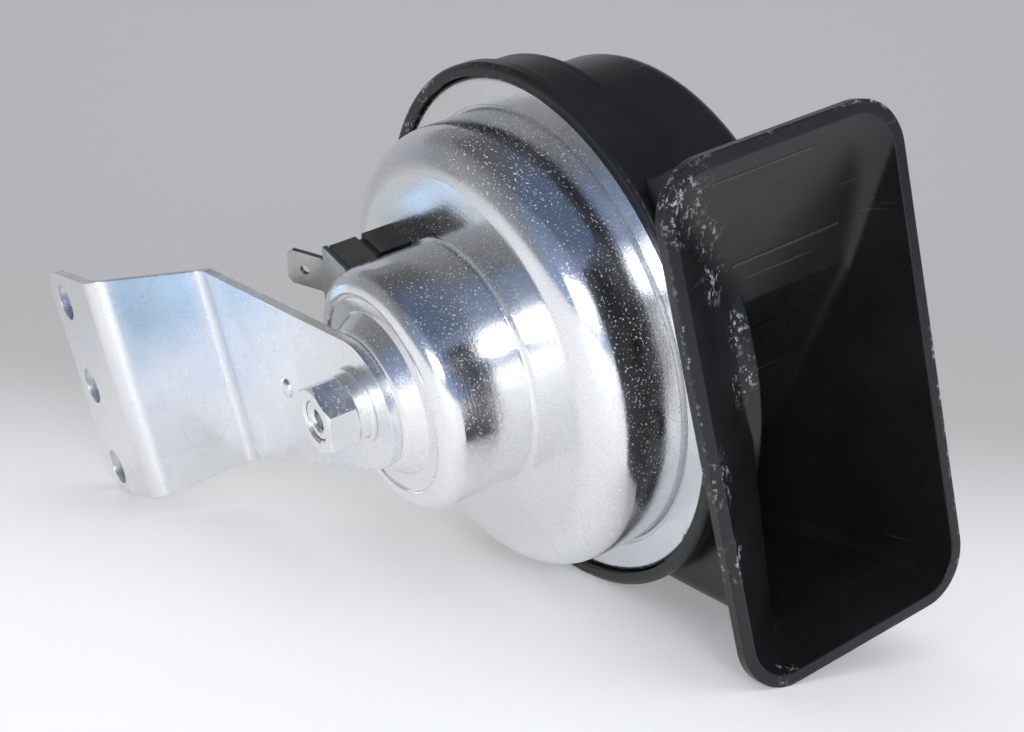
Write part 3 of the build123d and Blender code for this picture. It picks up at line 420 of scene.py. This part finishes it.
@dataclass(frozen=True)
class MouldedPlastic:
    """Black moulded plastic with a satin gloss, hair scratches, dust and pale scuffs."""

    name: str
    base: Colour = (0.0105, 0.0105, 0.0107)
    filmed: Colour = (0.019, 0.019, 0.019)
    dusty: Colour = (0.24, 0.24, 0.23)
    rubbed: Colour = (0.46, 0.45, 0.43)
    roughness: float = 0.30
    gloss: float = 0.42
    lip: bool = False
    scuffs: tuple[Spot, ...] = ()
    edge: float = 0.45 * MM
    # Features per metre of each layer.
    film_scale: float = 55.0
    skin_scale: float = 900.0
    flake_scale: float = 900.0
    dust_scale: float = 1500.0
    wear_scale: float = 30.0
    hair_scale: Span = (45.0, 1400.0)
    # How pale dust, hair scratches and seams show, out of 1.
    dust_shade: float = 0.4
    hair_shade: float = 0.12
    seam_shade: float = 0.13
    # The relief that the skin, the scratches, the wear and the seams share.
    skin_relief: float = 0.35
    hair_relief: float = -0.4
    worn_relief: float = -0.6
    seam_relief: float = -3.0
    relief: float = 0.09 * MM
    relief_strength: float = 0.3
    # The collar's worn edges, as radii, and the heights above the rim where its front begins.
    outer_edge: Span = (42.9 * MM, 43.5 * MM)
    inner_edge: Span = (41.0 * MM, 41.7 * MM)
    front: Span = (0.2 * MM, 0.7 * MM)
    edge_slope: float = 0.15 * MM

    def material(self) -> bpy.types.Material:
        """Build the plastic's node tree.

        Returns:
            The material.
        """
        wiring = Wiring(self.name)
        shader = wiring.shader
        where = wiring.place
        shader.inputs["Specular IOR Level"].default_value = self.gloss
        film = wiring.noise(where, self.film_scale, 4.0, 0.6)
        colour = wiring.blend(wiring.fit(film, 0.35, 0.8, 0.0, 0.6), self.base, self.filmed)
        dust = wiring.fit(wiring.noise(where, self.dust_scale, 2.0, 0.6), 0.75, 0.79)
        hairs = self.scratches(wiring)
        flaked = wiring.fit(wiring.noise(where, self.flake_scale, 4.0, 0.75), 0.54, 0.62)
        scuffed = wiring.math("MULTIPLY", wiring.near(self.scuffs), wiring.math("MAXIMUM", flaked, dust))
        worn = wiring.math("MAXIMUM", wiring.math("MULTIPLY", self.worn_edges(wiring), flaked), scuffed)
        seams = BellMouth().insert_lines(wiring) if self.lip else 0.0
        marks = wiring.math(
            "MAXIMUM",
            wiring.math("MULTIPLY", dust, self.dust_shade),
            wiring.math("MULTIPLY", hairs, self.hair_shade),
        )
        marks = wiring.math("MAXIMUM", marks, wiring.math("MULTIPLY", seams, self.seam_shade))
        colour = wiring.blend(marks, colour, self.dusty)
        colour = wiring.blend(worn, colour, self.rubbed)
        wiring.plug(colour, shader.inputs["Base Color"])
        rough = wiring.fit(film, 0.3, 0.75, self.roughness * 0.8, self.roughness * 1.3)
        rough = wiring.math("ADD", rough, wiring.math("MULTIPLY", worn, 0.3))
        wiring.plug(rough, shader.inputs["Roughness"])
        skin = wiring.noise(where, self.skin_scale, 3.0, 0.6)
        layers = [(skin, self.skin_relief), (hairs, self.hair_relief), (worn, self.worn_relief)]
        if self.lip:
            layers.append((seams, self.seam_relief))
        wiring.bump(wiring.sum(*layers), self.relief, self.relief_strength, self.edge)
        return wiring.material

    def scratches(self, wiring: Wiring) -> Socket:
        """Thin hair scratches in a few directions.

        Args:
            wiring: The tree to build in.

        Returns:
            A mask, 1 on a scratch.
        """
        total: Socket | float = 0.0
        across, along = self.hair_scale
        for turn, size in (((12.0, 25.0, 60.0), 1.0), ((70.0, -35.0, 10.0), 0.8), ((-40.0, 10.0, -65.0), 1.2)):
            where = wiring.stretched((across * size, across * size, along * size), turn)
            lines = wiring.fit(wiring.noise(where, 1.0, 1.0, 0.4), 0.76, 0.80)
            total = wiring.math("MAXIMUM", total, lines)
        return total

    def worn_edges(self, wiring: Wiring) -> Socket:
        """Where handling wears the plastic: the bell's lip and the cover's collar.

        Args:
            wiring: The tree to build in.

        Returns:
            A mask, 1 on a worn edge.
        """
        if self.lip:
            return BellMouth().lip_mask(wiring)
        radius, height = wiring.round_the_axis()
        patches = wiring.fit(wiring.noise(wiring.place, self.wear_scale, 2.0, 0.5), 0.45, 0.62)
        outer = wiring.between(radius, *self.outer_edge, self.edge_slope)
        inner = wiring.math("MULTIPLY", wiring.between(radius, *self.inner_edge, self.edge_slope), 0.8)
        rim = wiring.math("MULTIPLY", wiring.math("MAXIMUM", outer, inner), wiring.fit(height, *self.front))
        return wiring.math("MULTIPLY", rim, patches)


@dataclass(frozen=True)
class BellMouth:
    """The rounded rectangle of the bell's mouth, in the row's Y and Z, in metres."""

    plane: float = AXIS_X + 52.3 * MM
    middle_y: float = RIM_Y + 11.35 * MM
    middle_z: float = AXIS_Z - 6.1 * MM
    half_y: float = 20.95 * MM
    half_z: float = 37.9 * MM
    corner: float = 8.0 * MM
    wear_scale: float = 26.0
    # In millimetres: half a seam's width, then each seam's X, its ends in Y and its lowest and highest Z.
    seam_half_width: float = 0.10
    seams: tuple[tuple[float, float, float, float, float], ...] = (
        (120.7, 53.5, 70.0, 26.0, 32.0),
        (114.15, 58.5, 78.0, 13.0, 19.5),
    )

    def lip_mask(self, wiring: Wiring) -> Socket:
        """Mask of the lip's outer and inner edges.

        Args:
            wiring: The tree to build in.

        Returns:
            A mask, 1 on the lip.
        """
        x, y, z = wiring.coordinates()
        sides = []
        for value, middle, half in ((y, self.middle_y, self.half_y), (z, self.middle_z, self.half_z)):
            away = wiring.math("ABSOLUTE", wiring.math("SUBTRACT", value, middle))
            sides.append(wiring.math("SUBTRACT", away, half - self.corner))
        beyond = [wiring.math("MAXIMUM", side, 0.0) for side in sides]
        squares = [wiring.math("POWER", side, 2.0) for side in beyond]
        reach = wiring.math("SQRT", wiring.math("ADD", squares[0], squares[1]))
        inner = wiring.math("MINIMUM", wiring.math("MAXIMUM", sides[0], sides[1]), 0.0)
        edge = wiring.math("SUBTRACT", wiring.math("ADD", reach, inner), self.corner)
        near_outline = wiring.fit(wiring.math("ABSOLUTE", edge), 0.55 * MM, 0.1 * MM)
        near_plane = wiring.fit(wiring.math("SUBTRACT", self.plane, x), 1.0 * MM, 0.2 * MM)
        patches = wiring.fit(wiring.noise(wiring.place, self.wear_scale, 2.0, 0.5), 0.46, 0.60)
        return wiring.math("MULTIPLY", wiring.math("MULTIPLY", near_outline, near_plane), patches)

    def insert_lines(self, wiring: Wiring) -> Socket:
        """Mask of the shallow seams that the mould's insert leaves in the upper wall.

        Args:
            wiring: The tree to build in.

        Returns:
            A mask, 1 in a seam.
        """
        x, y, z = wiring.coordinates()
        total: Socket | float = 0.0
        for place, start, end, low, high in self.seams:
            near, far = place - self.seam_half_width, place + self.seam_half_width
            line = wiring.between(x, near * MM, far * MM, 0.06 * MM)
            line = wiring.math("MULTIPLY", line, wiring.between(y, start * MM, end * MM, 0.2 * MM))
            line = wiring.math("MULTIPLY", line, wiring.between(z, low * MM, high * MM, 0.2 * MM))
            total = wiring.math("MAXIMUM", total, line)
        return total


@dataclass(frozen=True)
class PlainFinish:
    """A simple worked finish: a colour that varies a little, its gloss and a fine bump."""

    name: str
    base: Colour
    other: Colour
    metallic: float = 0.0
    roughness: float = 0.5
    grain: float = 800.0
    relief: float = 0.05 * MM

    def material(self) -> bpy.types.Material:
        """Build the finish's node tree.

        Returns:
            The material.
        """
        wiring = Wiring(self.name)
        shader = wiring.shader
        shader.inputs["Metallic"].default_value = self.metallic
        clouds = wiring.noise(wiring.place, self.grain * 0.2, 4.0, 0.6)
        fine = wiring.noise(wiring.place, self.grain, 3.0, 0.6)
        wiring.plug(wiring.blend(wiring.fit(clouds, 0.3, 0.7), self.base, self.other), shader.inputs["Base Color"])
        wiring.plug(
            wiring.fit(fine, 0.3, 0.7, self.roughness * 0.8, self.roughness * 1.2), shader.inputs["Roughness"]
        )
        wiring.bump(fine, self.relief, 0.4)
        return wiring.material


@dataclass
class Dressing:
    """Which finish each carried-over node gets."""

    finishes: dict[str, ZincPlate | MouldedPlastic | PlainFinish] = field(default_factory=dict)

    def __post_init__(self) -> None:
        """List the horn's finishes by node."""
        dome = ZincPlate("housing zinc", tint=0.15, roughness=0.18)
        rim = ZincPlate("rim zinc", tint=0.25, roughness=0.20, speckle=0.5)
        sheet = ZincPlate(
            "bracket zinc", Grain.ROLLED, warm=(0.82, 0.78, 0.84), roughness=0.26, speckle=0.55, rainbow=True
        )
        turned = ZincPlate("fastener zinc", Grain.TURNED, tint=0.2, roughness=0.32, speckle=1.0, edge=0.15 * MM)
        cover = MouldedPlastic("cover plastic", scuffs=((52.0, 51.8, 41.0, 6.0), (44.0, 51.8, 36.0, 4.0)))
        bell = MouldedPlastic(
            "bell plastic",
            lip=True,
            scuffs=(
                (121.9, 47.2, 29.0, 7.0),
                (121.9, 61.6, 34.6, 1.6),
                (121.9, 67.5, 34.2, 1.6),
                (116.8, 52.3, 23.0, 4.0),
                (116.0, 53.5, 16.3, 5.0),
                (112.7, 58.2, 7.1, 4.0),
                (113.2, 57.5, 0.0, 5.0),
                (121.0, 45.5, -8.0, 5.0),
                (121.0, 45.0, -20.0, 4.0),
                (121.5, 50.0, -40.0, 2.5),
            ),
        )
        resin = PlainFinish("terminal resin", (0.020, 0.019, 0.018), (0.045, 0.043, 0.04), roughness=0.5)
        tin = PlainFinish("blade tin", (0.42, 0.41, 0.385), (0.52, 0.51, 0.48), 1.0, 0.36, 1200.0)
        iron = PlainFinish("magnet iron", (0.33, 0.33, 0.34), (0.42, 0.41, 0.41), 1.0, 0.4)
        spring = PlainFinish("spring steel", (0.40, 0.42, 0.46), (0.50, 0.51, 0.53), 1.0, 0.3)
        laminate = PlainFinish("laminate", (0.30, 0.19, 0.09), (0.42, 0.28, 0.14), roughness=0.6)
        copper = PlainFinish("winding copper", (0.48, 0.19, 0.09), (0.62, 0.28, 0.14), 0.8, 0.35, 2400.0, 0.1 * MM)
        brass = PlainFinish("contact brass", (0.62, 0.47, 0.22), (0.70, 0.56, 0.30), 1.0, 0.35)
        tungsten = PlainFinish("contact metal", (0.36, 0.37, 0.39), (0.46, 0.46, 0.47), 1.0, 0.3)
        fibre = PlainFinish("gasket fibre", (0.25, 0.21, 0.15), (0.33, 0.28, 0.20), roughness=0.8)
        groups = (
            (dome, ("housing",)),
            (rim, ("crimp_ring",)),
            (sheet, ("mounting_bracket",)),
            (turned, ("clamp_nut", "spring_washer", "flat_washer", "pole_core", "adjusting_screw")),
            (cover, ("horn_cover",)),
            (bell, ("snail_bell",)),
            (resin, ("terminal_base", "terminal_block")),
            (tin, ("blade_terminal",)),
            (iron, ("armature", "armature_rivet", "pole_plate")),
            (spring, ("diaphragm", "contact_spring")),
            (laminate, ("upper_insulator", "middle_insulator", "lower_insulator", "coil_bobbin", "lift_collar")),
            (copper, ("coil_winding",)),
            (brass, ("contact_carrier", "fixed_contact", "contact_rivets")),
            (tungsten, ("moving_point", "fixed_point")),
            (fibre, ("gasket",)),
        )
        for finish, nodes in groups:
            for node in nodes:
                self.finishes[node] = finish

    def dress(self) -> dict[str, bpy.types.Material]:
        """Give every node its material.

        Returns:
            The materials by finish name.
        """
        made: dict[str, bpy.types.Material] = {}
        for name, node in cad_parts.items():
            finish = self.finishes[name]
            if finish.name not in made:
                made[finish.name] = finish.material()
            node.data.materials.clear()
            node.data.materials.append(made[finish.name])
        return made


class Growth:
    """A geometry node tree with named sizes, which ends in one solid mesh with its material."""

    def __init__(self, name: str, sizes: dict[str, float]) -> None:
        """Start a tree.

        Args:
            name: The piece's name.
            sizes: The tree's inputs, in metres or as plain shares.
        """
        self.name = name
        self.tree = bpy.data.node_groups.new(name, "GeometryNodeTree")
        for label, value in sizes.items():
            socket = self.tree.interface.new_socket(label, in_out="INPUT", socket_type="NodeSocketFloat")
            socket.default_value = value
        self.tree.interface.new_socket("Geometry", in_out="OUTPUT", socket_type="NodeSocketGeometry")
        self.sizes = self.tree.nodes.new("NodeGroupInput").outputs
        self.end = self.tree.nodes.new("NodeGroupOutput").inputs[0]

    def node(self, kind: str, **inputs: Socket | float | bpy.types.Material) -> bpy.types.Node:
        """Add a node.

        Args:
            kind: Blender's name of the node.
            inputs: A socket, a number or a material for each input, by its name with underscores for spaces.

        Returns:
            The node.
        """
        made = self.tree.nodes.new(kind)
        for label, value in inputs.items():
            target = made.inputs[label.replace("_", " ")]
            if isinstance(value, bpy.types.NodeSocket):
                self.tree.links.new(value, target)
            else:
                target.default_value = value
        return made

    def grow(self, shape: Socket, material: bpy.types.Material, place: Matrix) -> bpy.types.Object:
        """Make the tree's shape into a plain, smooth mesh.

        Args:
            shape: The finished geometry.
            material: Its material.
            place: Where the mesh goes.

        Returns:
            The object, linked to the scene and with no modifier left.
        """
        solid = self.node("GeometryNodeRealizeInstances", Geometry=shape)
        coat = self.node("GeometryNodeSetMaterial", Geometry=solid.outputs[0], Material=material)
        self.tree.links.new(coat.outputs[0], self.end)
        piece = bpy.data.objects.new(self.name, bpy.data.meshes.new(self.name))
        bpy.context.scene.collection.objects.link(piece)
        modifier = piece.modifiers.new(self.name, "NODES")
        modifier.node_group = self.tree
        for item in self.tree.interface.items_tree:
            if item.in_out == "INPUT":
                modifier[item.identifier] = item.default_value
        bpy.context.view_layer.update()
        evaluated = piece.evaluated_get(bpy.context.evaluated_depsgraph_get())
        mesh = bpy.data.meshes.new_from_object(evaluated)
        piece.modifiers.remove(modifier)
        mesh.transform(place)
        mesh.shade_smooth()
        piece.data = mesh
        return piece


@dataclass
class StudThread:
    """The fine thread between the stud and the nut, a ridge that winds down the stud."""

    radius: float = 3.0 * MM
    pitch: float = 1.0 * MM
    depth: float = 0.14 * MM
    top: float = 39.9 * MM
    length: float = 4.0 * MM
    steps_per_turn: int = 48
    ridge_sides: int = 6

    def build(self, material: bpy.types.Material) -> bpy.types.Object:
        """Wind the ridge down the stud.

        Args:
            material: The thread's material.

        Returns:
            The thread's object.
        """
        sizes = {"Radius": self.radius, "Pitch": self.pitch, "Depth": self.depth, "Length": self.length}
        growth = Growth("stud_thread", sizes)
        radius, pitch, depth, length = (growth.sizes[name] for name in sizes)
        turns = growth.node("ShaderNodeMath")
        turns.operation = "DIVIDE"
        growth.tree.links.new(length, turns.inputs[0])
        growth.tree.links.new(pitch, turns.inputs[1])
        helix = growth.node(
            "GeometryNodeCurveSpiral",
            Resolution=self.steps_per_turn,
            Rotations=turns.outputs[0],
            Start_Radius=radius,
            End_Radius=radius,
            Height=length,
        )
        ridge = growth.node("GeometryNodeCurvePrimitiveCircle", Resolution=self.ridge_sides, Radius=depth)
        sweep = growth.node(
            "GeometryNodeCurveToMesh",
            Curve=helix.outputs[0],
            Profile_Curve=ridge.outputs["Curve"],
            Fill_Caps=True,
        )
        # The helix rises along +Z as made: turn +Z to -Y and move its foot to the stud.
        foot = Vector((AXIS_X, RIM_Y - (self.top - self.length), AXIS_Z))
        place = Matrix.Translation(foot) @ Matrix.Rotation(pi / 2, 4, "X")
        thread = growth.grow(sweep.outputs[0], material, place)
        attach(thread, Body.HORN.value)
        return thread


@dataclass
class ArmPip:
    """The small pip pressed up out of the bracket's arm beside the nut."""

    radius: float = 1.65 * MM
    height: float = 0.8 * MM
    from_stud: float = 26.7 * MM
    above: float = -2.25 * MM
    arm_face: float = 33.2 * MM
    segments: int = 32
    rings: int = 20

    def build(self, material: bpy.types.Material) -> bpy.types.Object:
        """Shape the pip, half sunk in the arm.

        Args:
            material: The pip's material.

        Returns:
            The pip's object.
        """
        growth = Growth("arm_pip", {"Radius": self.radius, "Flatness": self.height / self.radius})
        ball = growth.node(
            "GeometryNodeMeshUVSphere", Segments=self.segments, Rings=self.rings, Radius=growth.sizes["Radius"]
        )
        size = growth.node("ShaderNodeCombineXYZ", X=1.0, Y=growth.sizes["Flatness"], Z=1.0)
        flat = growth.node("GeometryNodeTransform", Geometry=ball.outputs["Mesh"], Scale=size.outputs[0])
        place = Vector((AXIS_X - self.from_stud, RIM_Y - self.arm_face, AXIS_Z + self.above))
        pip = growth.grow(flat.outputs[0], material, Matrix.Translation(place))
        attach(pip, Body.HORN.value)
        return pip


@dataclass(frozen=True)
class Lamp:
    """A soft lamp: its place in the table's axes and its size in metres, its power and its tint."""

    name: str
    place: Triple
    size: Span
    watts: float
    tint: Colour = (1.0, 1.0, 1.0)
    mirrored: bool = True


@dataclass
class Studio:
    """The camera, the pale sweep that the horn lies on and the soft lamps."""

    down: Vector = field(default_factory=lambda: Vector((-0.0291, -0.3204, -0.9468)).normalized())
    reach: float = 19.92 * MM
    eye: Vector = field(default_factory=lambda: Vector((281.4, -69.2, 77.7)) * MM)
    right: Vector = field(default_factory=lambda: Vector((0.5289, 0.8218, -0.2119)))
    up: Vector = field(default_factory=lambda: Vector((-0.1592, 0.3414, 0.9264)))
    lens: float = 56.77
    bend_from: float = 0.26
    bend: float = 0.30
    backdrop: float = 0.45
    bend_steps: int = 16
    front_edge: float = -1.6
    half_width: float = 2.0
    lift: float = 0.28
    # The floor's colours near the camera and behind the horn, and where it greys: the far colour is painted shade
    # that stands in for light falling off away from the camera.
    near_paper: tuple[Colour, Colour] = ((0.87, 0.87, 0.865), (0.90, 0.90, 0.895))
    far_paper_painted_shade: Colour = (0.47, 0.465, 0.455)
    painted_shade_falloff: Span = (-0.08, 0.15)
    aim: Vector = field(default_factory=lambda: Vector((0.075, 0.05, 0.0)))
    lamps: tuple[Lamp, ...] = (
        Lamp("ceiling", (0.10, 0.0, 0.85), (1.6, 1.6), 7.5, (1.0, 0.98, 0.94), mirrored=False),
        Lamp("window", (0.0, -0.90, 0.24), (0.50, 0.24), 1.6),
        Lamp("beside the camera", (0.14, -0.42, 0.15), (0.07, 0.07), 0.40),
    )
    room_strength: float = 1.7
    room_drift: float = 0.45
    room_scale: float = 1.7
    # The room's shades by height, and what they are multiplied by from the camera's side to the far left.
    far_left: Vector = field(default_factory=lambda: Vector((-0.77, 0.64, 0.0)))
    walls: tuple[tuple[float, Colour], ...] = (
        (0.22, (0.19, 0.20, 0.21)),
        (0.55, (0.16, 0.165, 0.17)),
        (0.85, (0.12, 0.122, 0.125)),
        (1.00, (0.070, 0.072, 0.075)),
    )
    sides: tuple[tuple[float, Colour], ...] = (
        (0.0, (0.85, 1.05, 1.55)),
        (0.35, (0.80, 0.82, 0.88)),
        (0.80, (1.0, 0.99, 0.97)),
    )

    def camera(self) -> bpy.types.Object:
        """Place the camera and make it the scene's own.

        Returns:
            The camera's object.
        """
        data = bpy.data.cameras.new("view")
        data.lens = self.lens
        data.sensor_width = 36.0
        data.clip_start = 0.01
        view = bpy.data.objects.new("view", data)
        bpy.context.scene.collection.objects.link(view)
        right = self.right.normalized()
        back = right.cross(self.up).normalized()
        turn = Matrix((right, back.cross(right), back)).transposed().to_4x4()
        view.matrix_world = Matrix.Translation(self.eye) @ turn
        bpy.context.scene.camera = view
        return view

    def table(self) -> Matrix:
        """Find the table's own axes: x to the camera's right, y away from it and z up off the table.

        Returns:
            The matrix from the table's axes to the scene's.
        """
        up = -self.down
        right = (self.right - up * self.right.dot(up)).normalized()
        away = up.cross(right)
        foot = self.down * self.reach
        return Matrix.Translation(foot) @ Matrix((right, away, up)).transposed().to_4x4()

    def sweep(self) -> bpy.types.Object:
        """Lay the floor and curve it up into a low backdrop behind the horn.

        Returns:
            The floor's object.
        """
        profile = [(self.front_edge, 0.0), (self.bend_from, 0.0)]
        for step in range(1, self.bend_steps + 1):
            angle = radians(90.0 * step / self.bend_steps)
            profile.append((self.bend_from + self.bend * sin(angle), self.bend * (1 - cos(angle))))
        profile.append((self.bend_from + self.bend, self.backdrop))
        points: list[Vector] = []
        faces: list[tuple[int, int, int, int]] = []
        place = self.table()
        for index, (away, height) in enumerate(profile):
            for side in (-self.half_width, self.half_width):
                points.append(place @ Vector((side, away, height)))
            if index:
                first = 2 * index - 2
                faces.append((first, first + 1, first + 3, first + 2))
        mesh = bpy.data.meshes.new("sweep")
        mesh.from_pydata(points, [], faces)
        mesh.shade_smooth()
        floor = bpy.data.objects.new("sweep", mesh)
        bpy.context.scene.collection.objects.link(floor)
        mesh.materials.append(self.paper())
        return floor

    def paper(self) -> bpy.types.Material:
        """Build pale matt paper with painted shade that greys it away from the viewer's side of the table, and
        lift its shadows.

        Returns:
            The material.
        """
        wiring = Wiring("paper")
        distance = wiring.tree.nodes.new("ShaderNodeVectorMath")
        distance.operation = "DOT_PRODUCT"
        wiring.plug(wiring.place, distance.inputs[0])
        distance.inputs[1].default_value = self.table().to_3x3() @ Vector((0.0, 1.0, 0.0))
        clouds = wiring.noise(wiring.place, 9.0, 3.0, 0.5)
        near = wiring.blend(wiring.fit(clouds, 0.3, 0.7), *self.near_paper)
        # Painted shade: the paper greys away from the camera, for light that falls off behind the horn.
        colour = wiring.blend(wiring.fit(distance.outputs["Value"], *self.painted_shade_falloff), near, self.far_paper_painted_shade)
        wiring.plug(colour, wiring.shader.inputs["Base Color"])
        wiring.shader.inputs["Roughness"].default_value = 0.6
        rays = wiring.tree.nodes.new("ShaderNodeLightPath")
        seen = wiring.math("MAXIMUM", rays.outputs["Is Camera Ray"], rays.outputs["Is Glossy Ray"])
        wiring.plug(colour, wiring.shader.inputs["Emission Color"])
        wiring.plug(wiring.math("MULTIPLY", seen, self.lift), wiring.shader.inputs["Emission Strength"])
        return wiring.material

    def hang(self, lamp: Lamp) -> bpy.types.Object:
        """Hang a lamp, aimed at the horn.

        Args:
            lamp: The lamp.

        Returns:
            Its object.
        """
        data = bpy.data.lights.new(lamp.name, "AREA")
        data.shape = "RECTANGLE"
        data.size, data.size_y = lamp.size
        data.energy = lamp.watts
        data.color = lamp.tint
        hung = bpy.data.objects.new(lamp.name, data)
        hung.visible_glossy = lamp.mirrored
        bpy.context.scene.collection.objects.link(hung)
        spot = self.table() @ Vector(lamp.place)
        facing = (self.aim - spot).to_track_quat("-Z", "Y").to_matrix().to_4x4()
        hung.matrix_world = Matrix.Translation(spot) @ facing
        return hung

    def room(self) -> None:
        """Fill the world with a dim room: paler to the left and behind the horn, bluish behind the camera."""
        world = bpy.data.worlds.new("room")
        world.use_nodes = True
        tree = world.node_tree
        link = tree.links.new
        where = tree.nodes.new("ShaderNodeTexCoord").outputs["Generated"]
        axes = self.table().to_3x3()

        def along(direction: Vector) -> Socket:
            """Measure how far a ray points along a direction.

            Args:
                direction: The direction, in the table's axes.

            Returns:
                The ray's share along it, -1 to 1.
            """
            node = tree.nodes.new("ShaderNodeVectorMath")
            node.operation = "DOT_PRODUCT"
            node.inputs[1].default_value = axes @ direction
            link(where, node.inputs[0])
            return node.outputs["Value"]

        def shades(value: Socket, stops: tuple[tuple[float, Colour], ...]) -> Socket:
            """Colour a value by soft steps.

            Args:
                value: The value.
                stops: Each step's place and colour.

            Returns:
                The colour.
            """
            node = tree.nodes.new("ShaderNodeValToRGB")
            node.color_ramp.interpolation = "EASE"
            while len(node.color_ramp.elements) < len(stops):
                node.color_ramp.elements.new(0.5)
            for element, (place, colour) in zip(node.color_ramp.elements, stops):
                element.position = place
                element.color = (*colour, 1.0)
            link(value, node.inputs["Fac"])
            return node.outputs["Color"]

        drift = tree.nodes.new("ShaderNodeTexNoise")
        drift.inputs["Scale"].default_value = self.room_scale
        drift.inputs["Detail"].default_value = 2.0
        link(where, drift.inputs["Vector"])
        spread = tree.nodes.new("ShaderNodeMath")
        spread.operation = "MULTIPLY_ADD"
        spread.inputs[1].default_value = self.room_drift
        link(drift.outputs["Fac"], spread.inputs[0])
        link(along(Vector((0.0, 0.0, 1.0))), spread.inputs[2])
        height = shades(spread.outputs[0], self.walls)
        side = shades(along(self.far_left), self.sides)
        both = tree.nodes.new("ShaderNodeMix")
        both.data_type = "RGBA"
        both.blend_type = "MULTIPLY"
        both.inputs[0].default_value = 1.0
        link(height, both.inputs[6])
        link(side, both.inputs[7])
        glow = tree.nodes["Background"]
        link(both.outputs[2], glow.inputs["Color"])
        glow.inputs["Strength"].default_value = self.room_strength
        bpy.context.scene.world = world

    def light(self) -> None:
        """Light the horn softly from a ceiling, a window behind the camera and a lamp beside it."""
        self.room()
        for lamp in self.lamps:
            self.hang(lamp)
        bpy.context.scene.view_settings.view_transform = "Standard"


def main() -> None:
    """Dress the horn, build the studio and report each piece."""
    logging.basicConfig(level=logging.INFO, format="%(name)s: %(message)s")
    materials = Dressing().dress()
    thread = StudThread().build(materials["fastener zinc"])
    pip = ArmPip().build(materials["bracket zinc"])
    for piece in (*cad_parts.values(), thread, pip):
        # A grown sphere starts with an empty slot, so a piece's finish is its last one.
        LOG.info("%s: %s, %d faces", piece.name, piece.data.materials[-1].name, len(piece.data.polygons))
    studio = Studio()
    studio.camera()
    studio.sweep()
    studio.light()


if __name__ == "__main__":
    main()
